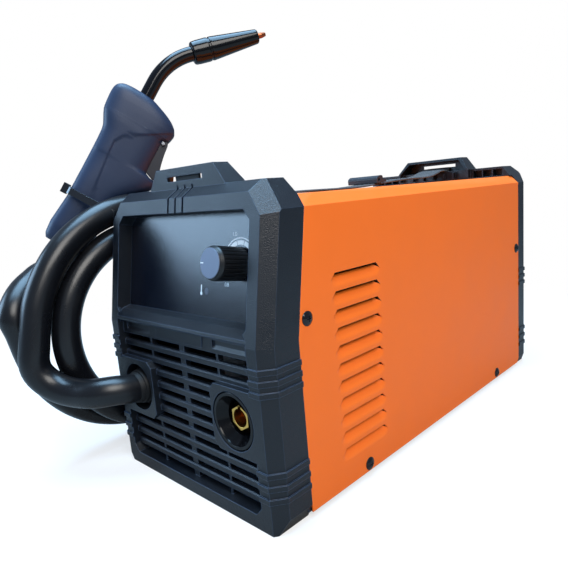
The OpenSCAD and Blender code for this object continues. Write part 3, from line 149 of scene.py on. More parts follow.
def piece(name, grids, finish, body, stands_for=(), smooth=35):
    """One object from grids of points (rows, columns, 3) in the row frame. Equal points are merged, which
    closes poles and seams, the normals are turned outwards, and bends over `smooth` degrees stay sharp."""
    corners, quads, start = [], [], 0
    for g in grids:
        rows, columns = g.shape[:2]
        corners.append(g.reshape(-1, 3))
        quads.append(grid_quads(rows, columns) + start)
        start += rows * columns
    mesh = bpy.data.meshes.new(name)
    mesh.from_pydata(np.concatenate(corners), [], np.concatenate(quads).tolist())
    work = bmesh.new()
    work.from_mesh(mesh)
    bmesh.ops.remove_doubles(work, verts=work.verts, dist=SAME_POINT)
    bmesh.ops.recalc_face_normals(work, faces=work.faces)
    work.to_mesh(mesh)
    work.free()
    mesh.shade_smooth()
    mesh.set_sharp_from_angle(angle=math.radians(smooth))
    made = shown(name, mesh, finish)
    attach(made, body)
    if stands_for:
        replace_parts(made, *stands_for)
    print(name, len(mesh.vertices), "points,", len(mesh.polygons), "faces")
    return made


print("the drawing's origin is at", row_frame((0, 0, 0)).tolist(), "in the row")


# %% Paths, tubes and turned shapes
def spline_through(points, step):
    """Natural cubic spline through the points. Along the chord length u each coordinate is a cubic between
    two knots, and the second derivatives m solve h0 m0 + 2 (h0 + h1) m1 + h1 m2 = 6 (s1 - s0) at every
    inner knot, where h are the chords and s the slopes. It is read every `step` along the chords."""
    p = np.asarray(points, float)
    h = np.linalg.norm(np.diff(p, axis=0), axis=1)
    u = np.concatenate([[0], np.cumsum(h)])
    s = np.diff(p, axis=0) / h[:, None]
    system, rest = np.eye(len(p)), np.zeros_like(p)
    i = np.arange(1, len(p) - 1)
    system[i, i - 1], system[i, i], system[i, i + 1] = h[:-1], 2 * (h[:-1] + h[1:]), h[1:]
    rest[1:-1] = 6 * np.diff(s, axis=0)
    m = np.linalg.solve(system, rest)
    t = np.linspace(0, u[-1], int(round(u[-1] / step)) + 1)
    k = np.clip(np.searchsorted(u, t) - 1, 0, len(p) - 2)
    w, hk = (t - u[k])[:, None], h[k][:, None]
    slope = s[k] - hk * (2 * m[k] + m[k + 1]) / 6
    return p[k] + w * slope + w**2 * m[k] / 2 + w**3 * (m[k + 1] - m[k]) / (6 * hk)


def carried_frames(path, first=(0.3, 0.5, 0.8)):
    """Tangent t and two normals u, v at each point of a path. u is carried along the path by taking out
    of it the part along the new tangent, so that the rings don't twist."""
    t = np.gradient(path, axis=0)
    t /= np.linalg.norm(t, axis=1)[:, None]
    u, kept = np.empty_like(t), np.asarray(first, float)
    for i, along in enumerate(t):
        kept = kept - along * (kept @ along)
        kept /= np.linalg.norm(kept)
        u[i] = kept
    return t, u, np.cross(t, u)


def tube(path, radius, around):
    """Rings p + r (cos a u + sin a v) along a path, with r from an array of its own for each ring and,
    if it has a second axis, for each angle. Both ends shrink to their middle."""
    _, u, v = carried_frames(path)
    a = np.linspace(0, 2 * np.pi, around, endpoint=False)
    r = np.broadcast_to(np.asarray(radius, float).reshape(len(path), -1), (len(path), around))
    out = np.cos(a)[:, None] * u[:, None] + np.sin(a)[:, None] * v[:, None]
    rings = path[:, None] + r[..., None] * out
    ends = [np.repeat(path[i][None, None], around, 1) for i in (0, -1)]
    return np.concatenate([ends[0], rings, ends[1]])


def turned_shape(profile, around=72):
    """A profile of (radius, height) turned about z: (r cos a, r sin a, z)."""
    r, z = np.asarray(profile, float).T
    a = np.linspace(0, 2 * np.pi, around, endpoint=False)
    return np.stack([r[:, None] * np.cos(a), r[:, None] * np.sin(a), np.repeat(z[:, None], around, 1)], -1)


def slab(outline, levels):
    """A flat piece: the outline in x and y at each (height, inset) of levels, with both ends closed at the
    middle. An inset moves each point that far towards the middle."""
    o = np.asarray(outline, float)
    middle = o.mean(0)
    reach = np.linalg.norm(o - middle, axis=1)[:, None]
    rows = [np.c_[middle + (o - middle) * (1 - inset / reach), np.full(len(o), z)] for z, inset in levels]
    ends = [np.c_[np.repeat(middle[None], len(o), 0), np.full(len(o), levels[i][0])] for i in (0, -1)]
    return np.stack([ends[0], *rows, ends[1]])


def along(grid, space):
    """A grid of points of a space brought into the row."""
    return placed(grid.reshape(-1, 3), space).reshape(grid.shape)


print("a turned shape has", turned_shape([(1, 0), (1, 1)]).shape[1], "points in each ring")

# %% [markdown]
# ## The torch hose
# The hose leaves the left hole of the front bezel, turns to the left, runs two layers of round coil beside
# the cover and rises into the torch handle. Its whole length shows, so that is its length: about 1.4 m of
# 23 mm rubber hose. It is a tube carried along one smooth line through the same points as the CAD route.

# %% Route of the hose
HOSE_R, COIL_R, TURN_STEP, LAYER_STEP = 11.5, 108.5, 24.2, 24.0
HOSE_EXIT, COIL_GAP, COIL_LIFT, DIP = (-59.8, 9.0, 72.6), 2.0, 0.3, 3.5
COIL_AT = np.array([-SIDE - COIL_GAP - HOSE_R, 54.0, HOSE_R + COIL_R - TURN_STEP / 4 + COIL_LIFT])
COIL_START, COIL_IN, COIL_OUT = 170.0, 400.0, 125.0
COIL_MIN = COIL_R - TURN_STEP * COIL_IN / 360
COIL_TURN = COIL_IN + 180 + COIL_OUT
TORCH_AT = np.array([-154.6, 3.7, 203.1])
TORCH = moved(*TORCH_AT) @ turned("z", 60) @ turned("y", -56)
torch_up, torch_front = TORCH[:3, 0], -TORCH[:3, 2]


def coil_line(a):
    """Centreline of the coil after turning through a degrees. It winds in to its least radius through the
    first layer, crosses with a dip to the second layer in half a turn, and winds out again:
    (x of the layer, y0 + r cos t, z0 + r sin t) with t = start - a."""
    t = np.radians(COIL_START - a)
    cross = np.clip(a - COIL_IN, 0, 180)
    r = np.where(a < COIL_IN, COIL_R - TURN_STEP * a / 360, COIL_MIN - DIP * np.sin(np.radians(cross)))
    r = r + (COIL_R - COIL_MIN) * np.clip(a - COIL_IN - 180, 0, None) / COIL_OUT
    x = COIL_AT[0] - LAYER_STEP * (1 - np.cos(np.radians(cross))) / 2
    return np.stack([x, COIL_AT[1] + r * np.cos(t), COIL_AT[2] + r * np.sin(t)], -1)


def coil_way(turn, grow):
    """Direction of the hose at an angle of its outer turn, where the radius grows by `grow` a radian."""
    t = math.radians(turn)
    d = np.array([0, grow * math.cos(t) + COIL_R * math.sin(t), grow * math.sin(t) - COIL_R * math.cos(t)])
    return d / np.linalg.norm(d)


coil = coil_line(np.linspace(0, COIL_TURN, 95))
before = coil[0] - 2 * HOSE_R * coil_way(COIL_START, -TURN_STEP / (2 * np.pi))
growth = (COIL_R - COIL_MIN) * 180 / np.pi / COIL_OUT
after = coil[-1] + 2 * HOSE_R * coil_way(COIL_START - COIL_TURN, growth)
lead = [HOSE_EXIT, (-59.8, 1, 72.6), (-60, -8, 73.5), (-63, -19.5, 75), (-71, -30, 75), (-83, -37.5, 75),
        (-96, -45.5, 78), (-105.5, -53.5, 86), (-110, -58.5, 97)]
tail = [(-135.5, -60, 137), (-139.5, -54.5, 147.5), (-146, -45, 155.5), (-153, -33.5, 161.5),
        (-158, -23, 165.5)]
hose_end = TORCH_AT - 29 * torch_up + 6 * torch_front
route = np.array([*lead, before, *coil, after, *tail, hose_end - 8 * torch_up, hose_end])
hose_path = row_frame(spline_through(route, 3.0))

# %% [markdown]
# ## Finishes
# Moulded plastic, powder coat, rubber, brass and zinc look different mainly in their fine relief and in how
# their gloss changes over the surface. Three effects are shared by most of them, so each is a node group:
# a fine grain, softened edges with a lighter colour that is partly wear and partly a painted highlight,
# and dust that settles on what faces up.


# %% Node helpers
def paint(red, green, blue):
    """A colour written from 0 to 255 as on a screen, as linear values: ((c + 0.055) / 1.055) ^ 2.4."""
    c = np.array([red, green, blue]) / 255
    return (*np.where(c > 0.04045, ((c + 0.055) / 1.055) ** 2.4, c / 12.92).tolist(), 1.0)


def add(tree, kind, sockets=None, **settings):
    """A node with its settings; sockets maps an input to a value or to the output that feeds it."""
    made = tree.nodes.new(kind)
    for key, value in settings.items():
        setattr(made, key, value)
    for key, value in (sockets or {}).items():
        if isinstance(value, bpy.types.NodeSocket):
            tree.links.new(value, made.inputs[key])
        else:
            made.inputs[key].default_value = value
    return made


def math_node(tree, operation, a, b, clamp=False):
    """The output of one sum, product or other step of arithmetic."""
    return add(tree, "ShaderNodeMath", {0: a, 1: b}, operation=operation, use_clamp=clamp).outputs[0]


def new_material(name):
    """A material, its node tree and its main shader."""
    made = bpy.data.materials.new(name)
    made.use_nodes = True
    return made, made.node_tree, made.node_tree.nodes["Principled BSDF"]


def new_group(name, inputs, outputs):
    """An empty shader group with float inputs {name: value} and outputs {name: kind}."""
    tree = bpy.data.node_groups.new(name, "ShaderNodeTree")
    for key, value in inputs.items():
        tree.interface.new_socket(key, in_out="INPUT", socket_type="NodeSocketFloat").default_value = value
    for key, kind in outputs.items():
        tree.interface.new_socket(key, in_out="OUTPUT", socket_type="NodeSocket" + kind)
    return tree, tree.nodes.new("NodeGroupInput"), tree.nodes.new("NodeGroupOutput")


def use(tree, group, **values):
    """A group placed in a material, with its own values."""
    made = add(tree, "ShaderNodeGroup", node_tree=group)
    for key, value in values.items():
        made.inputs[key.replace("_", " ")].default_value = value
    return made


print("orange as linear values:", np.round(paint(246, 112, 30), 3).tolist())

# %% Group: fine grain
grain, g_in, g_out = new_group("fine grain", {"Size": 0.0006, "Drift": 0.02},
                               {"Height": "Float", "Cloud": "Float"})
place = add(grain, "ShaderNodeTexCoord").outputs["Object"]
often = math_node(grain, "DIVIDE", 1.0, g_in.outputs["Size"])
rarely = math_node(grain, "DIVIDE", 1.0, g_in.outputs["Drift"])
fine = add(grain, "ShaderNodeTexNoise", {"Vector": place, "Scale": often, "Detail": 2.0, "Roughness": 0.6})
cells = add(grain, "ShaderNodeTexVoronoi", {"Vector": place, "Scale": often}, feature="SMOOTH_F1")
cloud = add(grain, "ShaderNodeTexNoise", {"Vector": place, "Scale": rarely, "Detail": 3.0})
pits = math_node(grain, "MULTIPLY", cells.outputs["Distance"], 0.6)
grain.links.new(math_node(grain, "ADD", pits, fine.outputs[0]), g_out.inputs["Height"])
grain.links.new(cloud.outputs[0], g_out.inputs["Cloud"])
print("fine grain:", len(grain.nodes), "nodes")

# %% Group: soft edges, worn and with a painted highlight
edges, e_in, e_out = new_group("soft edges", {"Radius": 0.0005}, {"Normal": "Vector", "Wear and highlight": "Float"})
# The mask of the corners, used for edge wear and for a painted highlight along them.
rounded = add(edges, "ShaderNodeBevel", {"Radius": e_in.outputs["Radius"]}, samples=6)
flat = add(edges, "ShaderNodeNewGeometry").outputs["Normal"]
same = add(edges, "ShaderNodeVectorMath", {0: rounded.outputs[0], 1: flat}, operation="DOT_PRODUCT")
turn = math_node(edges, "SUBTRACT", 1.0, same.outputs["Value"])
edges.links.new(rounded.outputs[0], e_out.inputs["Normal"])
edges.links.new(math_node(edges, "MULTIPLY", turn, 5.0, clamp=True), e_out.inputs["Wear and highlight"])
print("soft edges:", len(edges.nodes), "nodes")

# %% Group: settled dust
dust, d_in, d_out = new_group("settled dust", {"Size": 0.03}, {"Mask": "Float"})
faces_way = add(dust, "ShaderNodeNewGeometry").outputs["Normal"]
up = add(dust, "ShaderNodeSeparateXYZ", {0: faces_way}).outputs["Z"]
facing = add(dust, "ShaderNodeMapRange", {"Value": up, "From Min": 0.4, "From Max": 1.0}).outputs[0]
spots = add(dust, "ShaderNodeTexNoise", {
    "Vector": add(dust, "ShaderNodeTexCoord").outputs["Object"], "Detail": 6.0, "Roughness": 0.65,
    "Scale": math_node(dust, "DIVIDE", 1.0, d_in.outputs["Size"])})
patchy = add(dust, "ShaderNodeMapRange", {"Value": spots.outputs[0], "From Min": 0.35, "From Max": 0.75})
dust.links.new(math_node(dust, "MULTIPLY", facing, patchy.outputs[0]), d_out.inputs["Mask"])
print("groups:", [g.name for g in bpy.data.node_groups])


# %% Finish from a recipe and the finishes
def mixed(tree, factor, a, b):
    """Colour a where factor is 0 and b where it is 1."""
    return add(tree, "ShaderNodeMix", {0: factor, 6: a, 7: b}, data_type="RGBA").outputs[2]


def finish_of(name, colour, gloss, size=0.0006, relief=0.00002, edge=0.0005, wear_and_highlight=None, drift=0.08,
              dusty=0.0, scatter=0.12, metal=0.0, **shader):
    """A solid finish. colour is its own, gloss its roughness, size and relief the grain's in metres, edge
    how far corners are softened, wear_and_highlight the lighter colour of edges, partly wear and partly a
    painted highlight, drift how much the colour and scatter how much the roughness change over the surface,
    dusty how much dust lies on it. With c the cloud from 0 to 1, the roughness is gloss (1 - scatter + 2
    scatter c)."""
    made, tree, body = new_material(name)
    for key, value in {"Metallic": metal, **shader}.items():
        body.inputs[key.replace("_", " ")].default_value = value
    texture = use(tree, grain, Size=size, Drift=0.03)
    cloud = texture.outputs["Cloud"]
    dark = (*[c * (1 - 2 * drift) for c in colour[:3]], 1.0)
    light = (*[min(1.0, c * (1 + 2 * drift)) for c in colour[:3]], 1.0)
    tone = mixed(tree, cloud, dark, light)
    corner = use(tree, edges, Radius=edge)
    # Corners turn to a lighter colour: partly wear, partly a painted highlight along the edges.
    if wear_and_highlight:
        tone = mixed(tree, math_node(tree, "MULTIPLY", corner.outputs["Wear and highlight"], 0.5), tone, wear_and_highlight)
    if dusty:
        veil = math_node(tree, "MULTIPLY", use(tree, dust).outputs["Mask"], dusty)
        tone = mixed(tree, veil, tone, paint(150, 150, 148))
    tree.links.new(tone, body.inputs["Base Color"])
    rough = math_node(tree, "MULTIPLY_ADD", cloud, 2 * scatter * gloss)
    rough.node.inputs[2].default_value = gloss * (1 - scatter)
    tree.links.new(rough, body.inputs["Roughness"])
    bump = add(tree, "ShaderNodeBump", {"Distance": relief, "Height": texture.outputs["Height"],
                                        "Normal": corner.outputs["Normal"], "Strength": 1.0})
    tree.links.new(bump.outputs[0], body.inputs["Normal"])
    return made


# name, colour, gloss, grain size, relief, edge, edge wear and painted highlight, drift, dust, scatter
# The bezel's pale blue edges are a painted highlight as well as wear.
bezel_blue = finish_of("moulded bezel", paint(13, 18, 26), 0.34, 0.0006, 0.0002, 0.0006,
                       paint(100, 126, 164), 0.06, 0.03, 0.2, Specular_IOR_Level=0.45)
rear_grey = finish_of("moulded rear bezel", paint(13, 15, 20), 0.36, 0.0006, 0.00012, 0.0005,
                      paint(70, 82, 102), 0.06, 0.06, 0.2, Specular_IOR_Level=0.42)
orange_coat = finish_of("orange powder coat", paint(246, 112, 30), 0.46, 0.0011, 0.00002, 0.0005,
                        paint(250, 150, 90), 0.02, 0.04, Specular_IOR_Level=0.3)
tray_coat = finish_of("grey powder coat", paint(64, 67, 71), 0.5, 0.0011, 0.000018, 0.0004)
zinc = finish_of("zinc plated steel", paint(176, 178, 182), 0.32, 0.0005, 0.000004, 0.0003, metal=1.0,
                 scatter=0.4)
galvanised = finish_of("galvanised sheet", paint(170, 174, 178), 0.42, 0.004, 0.000006, 0.0003, metal=1.0,
                       drift=0.15, scatter=0.4)
black_oxide = finish_of("black screws", paint(8, 8, 10), 0.12, 0.0004, 0.000003, 0.0004, paint(60, 60, 64),
                        Specular_IOR_Level=0.5)
panel_film = finish_of("glossy panel film", paint(9, 14, 26), 0.19, 0.0006, 0.00006, 0.0003, drift=0.1,
                       Specular_IOR_Level=0.5)
knob_black = finish_of("black knob", paint(9, 10, 13), 0.36, 0.0004, 0.00001, 0.0003, paint(48, 50, 58))
socket_black = finish_of("glossy black plastic", paint(6, 6, 8), 0.16, 0.0005, 0.000006, 0.0004,
                         paint(44, 46, 54), Specular_IOR_Level=0.22)
satin_black = finish_of("satin black plastic", paint(22, 23, 26), 0.45, 0.0005, 0.00001, 0.0004,
                        paint(60, 62, 66))
brass = finish_of("turned brass", paint(226, 178, 92), 0.2, 0.0006, 0.000004, 0.0003, metal=1.0, scatter=0.5)
copper = finish_of("copper", paint(150, 84, 54), 0.34, 0.0005, 0.000004, 0.0003, metal=1.0, scatter=0.4)
cast_grey = finish_of("cast feeder", paint(150, 152, 156), 0.45, 0.0012, 0.00003, 0.0004, metal=0.9)
motor_grey = finish_of("motor housing", paint(120, 124, 130), 0.35, 0.0006, 0.00001, 0.0004, metal=0.9)
arm_red = finish_of("red arm", paint(176, 40, 26), 0.35, 0.001, 0.00001, 0.0004, paint(210, 90, 70))
wire_copper = finish_of("wound wire", paint(168, 130, 100), 0.3, 0.0009, 0.00012, 0.0002, metal=1.0)
nut_orange = finish_of("orange nut", paint(226, 112, 40), 0.4, 0.0005, 0.00001, 0.0004, paint(244, 160, 100))
board_green = finish_of("circuit board", paint(26, 84, 46), 0.3, 0.002, 0.00003, 0.0002, drift=0.2)
sink_metal = finish_of("extruded aluminium", paint(186, 188, 192), 0.36, 0.0008, 0.000006, 0.0003, metal=1.0)
ferrite = finish_of("taped ferrite", paint(60, 56, 50), 0.5, 0.002, 0.00002, 0.0005, drift=0.2)
enamel = finish_of("enamelled wire", paint(140, 66, 30), 0.3, 0.0016, 0.0003, 0.0003, metal=0.6)
can_blue = finish_of("capacitor sleeve", paint(40, 50, 92), 0.3, 0.0005, 0.000005, 0.0004)
rocker_red = finish_of("red rocker", paint(200, 30, 24), 0.22, 0.0005, 0.000004, 0.0004, Coat_Weight=0.3)
grip_blue = finish_of("moulded torch handle", paint(32, 45, 70), 0.46, 0.0006, 0.00002, 0.0005,
                      paint(66, 84, 114), 0.04, 0.0, Specular_IOR_Level=0.35)
trigger_black = finish_of("trigger plastic", paint(34, 38, 47), 0.38, 0.0005, 0.00001, 0.0004,
                          paint(70, 78, 92))
neck_black = finish_of("glossy neck sleeve", paint(8, 9, 14), 0.13, 0.002, 0.000002, 0.0003,
                       scatter=0.04, Specular_IOR_Level=0.3)
nozzle_black = finish_of("nozzle", paint(6, 6, 8), 0.13, 0.0012, 0.000002, 0.0004, paint(36, 37, 42),
                         scatter=0.04, Specular_IOR_Level=0.3)
tie_black = finish_of("nylon tie", paint(8, 10, 16), 0.12, 0.0009, 0.000002, 0.0003, scatter=0.05,
                      Coat_Weight=0.6, Coat_Roughness=0.06)
lens = finish_of("lamp lens", paint(92, 98, 110), 0.15, 0.0008, 0.000004, 0.0003)
buckle_grey = finish_of("buckle plastic", paint(34, 37, 44), 0.4, 0.0005, 0.00001, 0.0005, paint(80, 88, 102))


def darker_inside(made, inside, centre):
    """Gives a coated shell another colour on its inner faces, which are those whose normal n points to the
    middle line of the shell: n . (p - centre) < 0, without the part along the shell."""
    tree = made.node_tree
    base = tree.nodes["Principled BSDF"].inputs["Base Color"]
    coat = base.links[0].from_socket
    p = add(tree, "ShaderNodeTexCoord").outputs["Object"]
    out = add(tree, "ShaderNodeVectorMath", {0: p, 1: centre}, operation="SUBTRACT").outputs[0]
    out = add(tree, "ShaderNodeVectorMath", {0: out, 1: (1.0, 0.0, 1.0)}, operation="MULTIPLY").outputs[0]
    n = add(tree, "ShaderNodeVectorTransform", {0: add(tree, "ShaderNodeNewGeometry").outputs["Normal"]},
            vector_type="NORMAL", convert_from="WORLD", convert_to="OBJECT").outputs[0]
    side = add(tree, "ShaderNodeVectorMath", {0: n, 1: out}, operation="DOT_PRODUCT").outputs["Value"]
    inner = math_node(tree, "LESS_THAN", side, -0.01)
    tree.links.new(mixed(tree, inner, coat, inside), base)


# The orange shell is given a darker colour on its inner faces.
darker_inside(orange_coat, paint(52, 46, 42), (0.0, 0.0, 0.11))
print(len(bpy.data.materials), "finishes")

# %% [markdown]
# ## Finishes on the CAD nodes
# The exact solids already have smooth normals on their curved faces, so a hard part only needs its finish.

# %% Which node has which finish
finishes = {
    "front_bezel": bezel_blue, "rear_bezel": rear_grey, "cover": orange_coat, "side_door": orange_coat,
    "door_hinge_pins": zinc, "door_magnets": satin_black, "base_tray": tray_coat, "partition": galvanised,
    "cover_screws": black_oxide, "control_panel": panel_film, "speed_knob": knob_black, "knob_shaft": zinc,
    "potentiometer": zinc, "thermal_lamp": lens, "dinse_socket": socket_black, "socket_brass": brass,
    "socket_nut": brass, "hose_gland": satin_black, "torch_conduit": satin_black, "feed_bracket": cast_grey,
    "feed_motor": motor_grey, "drive_roll": zinc, "pressure_arm": arm_red, "pressure_roll": zinc,
    "tension_rod": zinc, "tension_knob": satin_black, "wire_guides": brass, "wire_spool": satin_black,
    "wire_winding": wire_copper, "spool_spindle": satin_black, "spool_nut": nut_orange,
    "power_board": board_green, "heat_sinks": sink_metal, "transformer": ferrite, "output_choke": enamel,
    "capacitors": can_blue, "fan_frame": satin_black, "fan_rotor": satin_black, "switch_body": satin_black,
    "switch_rocker": rocker_red, "mains_gland": satin_black, "strap_buckle": buckle_grey,
    "torch_trigger": trigger_black, "trigger_pin": zinc, "neck_tube": neck_black,
    "torch_nozzle": nozzle_black, "contact_tip": copper, "cable_tie": tie_black,
}
for node, finish in finishes.items():
    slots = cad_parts[node].data.materials
    for i in range(len(slots)):
        slots[i] = finish
    if not len(slots):
        slots.append(finish)
print(len(finishes), "nodes finished")

# %% [markdown]
# ## Pressed louvres
# The vents of the cover are pressed inwards. The sheet is cut along the top of each, and the metal below
# the cut is pushed in, so it catches the light from above like a scoop and the way in stays dark. The
# packed cover has plain outward hoods there, so a copy of it gets a new field: the old one is cut out along
# a rectangle and a grid of points with the cuts in it is sewn into the hole.

# %% Grid of the louvre field
SHEET = 1.2
CUT_TOP, CUT_STEP, CUTS = 162.4, 12.87, 11
CUT_START, CUT_END, SLANT = 71.0, 119.0, 5.2
SCOOP_DEPTH, SCOOP_DROP, SCOOP_GAP = 4.6, 10.2, 2.2
across = np.concatenate([np.linspace(CUT_START - SLANT, CUT_START, 12),
                         np.linspace(CUT_START, CUT_END, 26)[1:],
                         np.linspace(CUT_END, CUT_END + SLANT, 12)[1:]])
past_end = np.clip(np.maximum(CUT_START - across, across - CUT_END), 0, SLANT)
to_tip = np.clip(np.minimum(across - across[0], across[-1] - across) / (SLANT + 2.5), 0, 1)
push = to_tip**2 * (3 - 2 * to_tip)


def side_points(inwards, height):
    """Points on the right side, this far inwards from its outer face, at each place of `across`."""
    inwards, height = np.broadcast_arrays(inwards, height)
    return np.stack([SIDE - inwards, np.broadcast_to(across, inwards.shape), height], -1)


def louvre_field():
    """The outer skin as a list of grids, from the bottom up. Under each cut the scoop's depth is
    D push(y) v^1.7, for v from 0 at its foot to 1 at the cut, and its edge stops a gap below the cut."""
    grids = []
    v = np.linspace(0, 1, 15)[:, None]
    for i in reversed(range(CUTS)):
        cut = CUT_TOP - i * CUT_STEP - past_end
        foot = CUT_TOP - i * CUT_STEP - SCOOP_DROP
        over = foot + SCOOP_DROP + (CUT_STEP - SCOOP_DROP if i else 3.0)
        grids.append(side_points(SCOOP_DEPTH * push * v**1.7, foot + (cut - SCOOP_GAP * push - foot) * v))
        grids.append(side_points(0.0, cut + (over - cut) * np.linspace(0, 1, 3)[:, None]))
    return grids


field = louvre_field()
print(len(field), "strips of", len(across), "columns")


# %% Cut the old field out
def open_edges(work, x, inside):
    """Edges with only one face that lie in the plane x and within the rectangle ((y0, z0), (y1, z1))."""
    (y0, z0), (y1, z1) = inside
    return [e for e in work.edges if e.is_boundary and all(
        abs(c.co.x - x) < 2e-5 and y0 < c.co.y < y1 and z0 < c.co.z < z1 for c in e.verts)]


SIDE_ONLY = 0.088  # beyond this x, in metres, the cover has only its right side
FIELD_LOW, FIELD_HIGH = (0, 64.5, 20.8), (0, 125.5, 167.0)  # corners of the field's rectangle
low, high = row_frame([FIELD_LOW, FIELD_HIGH])
work = bmesh.new()
work.from_mesh(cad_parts["cover"].data)
bmesh.ops.remove_doubles(work, verts=work.verts, dist=SAME_POINT)
for corner in (low, high):
    for way in ((0, 1, 0), (0, 0, 1)):
        near = [f for f in work.faces if min(c.co.x for c in f.verts) > SIDE_ONLY]
        parts = {*near, *(e for f in near for e in f.edges), *(c for f in near for c in f.verts)}
        bmesh.ops.bisect_plane(work, geom=list(parts), plane_co=corner, plane_no=way, dist=1e-7)
middles = [(f, f.calc_center_median()) for f in work.faces]
gone = [f for f, c in middles if c.x > SIDE_ONLY and low[1] < c.y < high[1] and low[2] < c.z < high[2]]
print(len(gone), "faces of the old field")
bmesh.ops.delete(work, geom=gone, context="FACES")

# %% Make the new field: an outer and an inner skin, joined along each cut
corners, quads, start = [], [], 0
for skin, inwards in enumerate((0.0, SHEET)):
    for g in field:
        rows, columns = g.shape[:2]
        corners.append(g.reshape(-1, 3) - (inwards, 0, 0))
        cells = grid_quads(rows, columns)
        cells = cells[np.arange(len(cells)) % columns < columns - 1]
        quads.append((cells if skin == 0 else cells[:, ::-1]) + start)
        start += rows * columns
starts = np.cumsum([0] + [g.shape[0] * g.shape[1] for g in field])
j = np.arange(len(across) - 1)
for k, g in enumerate(field):
    edge = starts[k] + (j + (g.shape[0] - 1) * len(across) if k % 2 == 0 else j)
    rim = np.stack([edge, edge + 1, edge + 1 + starts[-1], edge + starts[-1]], -1)
    quads.append(rim if k % 2 else rim[:, ::-1])
patch = bpy.data.meshes.new("louvre_field")
patch.from_pydata(row_frame(np.concatenate(corners)), [], np.concatenate(quads).tolist())
print("new field:", start, "points")

# %% Sew it in and keep the bends of the sheet crisp
SHOULDER = 209.0  # height of the bend between the side and the bevel over it
work.from_mesh(patch)
bmesh.ops.remove_doubles(work, verts=work.verts, dist=SAME_POINT)
hole = ((low[1] - 1e-5, low[2] - 1e-5), (high[1] + 1e-5, high[2] + 1e-5))
for x, way in ((SIDE * MM, 1), ((SIDE - SHEET) * MM, -1)):
    loops = open_edges(work, x, hole)
    bmesh.ops.triangle_fill(work, use_beauty=True, use_dissolve=False, edges=loops, normal=(way, 0, 0))
bmesh.ops.recalc_face_normals(work, faces=work.faces)
left_open = sum(e.is_boundary for e in work.edges)
work.edges.index_update()
bend = [e.index for e in work.edges if e.calc_length() > 0.004
        and all(abs(c.co.z - SHOULDER * MM) < 4e-4 for c in e.verts)]
mesh = bpy.data.meshes.new("steel_cover")
work.to_mesh(mesh)
work.free()
mesh.shade_smooth()
mesh.set_sharp_from_angle(angle=math.radians(30))
for i in bend:
    mesh.edges[i].use_edge_sharp = True
mesh.materials.clear()
steel_cover = shown("steel_cover", mesh, orange_coat)
steel_cover.modifiers.new("flat sides", "WEIGHTED_NORMAL").keep_sharp = True
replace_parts(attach(steel_cover, "machine"), "cover")
print("cover:", len(mesh.polygons), "faces,", left_open, "open edges,", len(bend), "edges along the bends")

# %% [markdown]
# ## Lowest slat
# The slats of the front grille follow each other down to the rail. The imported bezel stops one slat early,
# so one more bar of the same section is set across the opening, a step below the last.

# %% Lowest slat of the front grille
SLAT_TOP, SLAT_H, SLAT_FRONT, SLAT_BACK, SLAT_EDGE, SLAT_HALF = 21.05, 4.7, 5.0, 9.0, 0.9, 80.6
section = [(SLAT_FRONT + SLAT_EDGE, SLAT_TOP), (SLAT_FRONT, SLAT_TOP - SLAT_EDGE),
           (SLAT_FRONT, SLAT_TOP - SLAT_H), (SLAT_BACK, SLAT_TOP - SLAT_H), (SLAT_BACK, SLAT_TOP)]
bar = slab(section, [(-SLAT_HALF, 0.0), (SLAT_HALF, 0.0)])
piece("lowest_slat", [row_frame(np.roll(bar, 1, axis=-1))], bezel_blue, "machine")

# %% [markdown]
# ## Rubber hose
# A rubber hose coiled by hand isn't a perfect tube: it goes slightly oval and creases on the inner side of a
# tight bend. Both are small changes of the radius at each angle of each ring.


# %% Hose surface
def soft_noise(rows, columns, cell, seed):
    """Smooth noise on a grid whose columns run round a ring: random values every `cell` rows and columns,
    joined by a cosine blend."""
    dice = np.random.default_rng(seed)
    nr, nc = int(rows / cell[0]) + 2, max(3, int(round(columns / cell[1])))
    values = dice.uniform(-1, 1, (nr, nc))
    i, j = np.arange(rows) / cell[0], np.arange(columns) * nc / columns
    i0, j0 = i.astype(int), j.astype(int) % nc
    fi = ((1 - np.cos(np.pi * (i - i0))) / 2)[:, None]
    fj = (1 - np.cos(np.pi * (j % 1))) / 2
    a = values[i0][:, j0] * (1 - fj) + values[i0][:, (j0 + 1) % nc] * fj
    b = values[i0 + 1][:, j0] * (1 - fj) + values[i0 + 1][:, (j0 + 1) % nc] * fj
    return a * (1 - fi) + b * fi


HOSE_AROUND, CREASE, TIGHTEST = 48, 0.0016, 14  # creases grow with the curvature, up to 14 a metre
t, u, v = carried_frames(hose_path)
curve = np.gradient(t, axis=0) / np.linalg.norm(np.gradient(hose_path, axis=0), axis=1)[:, None]
inner = np.stack([(curve * u).sum(1), (curve * v).sum(1)], -1)
angles = np.linspace(0, 2 * np.pi, HOSE_AROUND, endpoint=False)
towards = inner[:, :1] * np.cos(angles) + inner[:, 1:] * np.sin(angles)
radius = HOSE_R * MM * (1 - CREASE * np.clip(towards, -TIGHTEST, TIGHTEST))
radius += 0.00016 * soft_noise(len(hose_path), HOSE_AROUND, (7, 6), 4)
radius += 0.00022 * soft_noise(len(hose_path), HOSE_AROUND, (26, 16), 9)

rubber = finish_of("hose rubber", paint(13, 14, 18), 0.29, 0.0008, 0.00003, 0.0004, None, 0.06, 0.03, 0.3,
                   Specular_IOR_Level=0.42)
hose = piece("torch_hose", [tube(hose_path, radius, HOSE_AROUND)], rubber, "machine",
             ["hose_lead", "hose_coil", "hose_tail"], 60)

# %% [markdown]
# ## Bend supports
# Where the hose leaves a rigid part it is held by a ribbed rubber sleeve, so that it doesn't kink there.


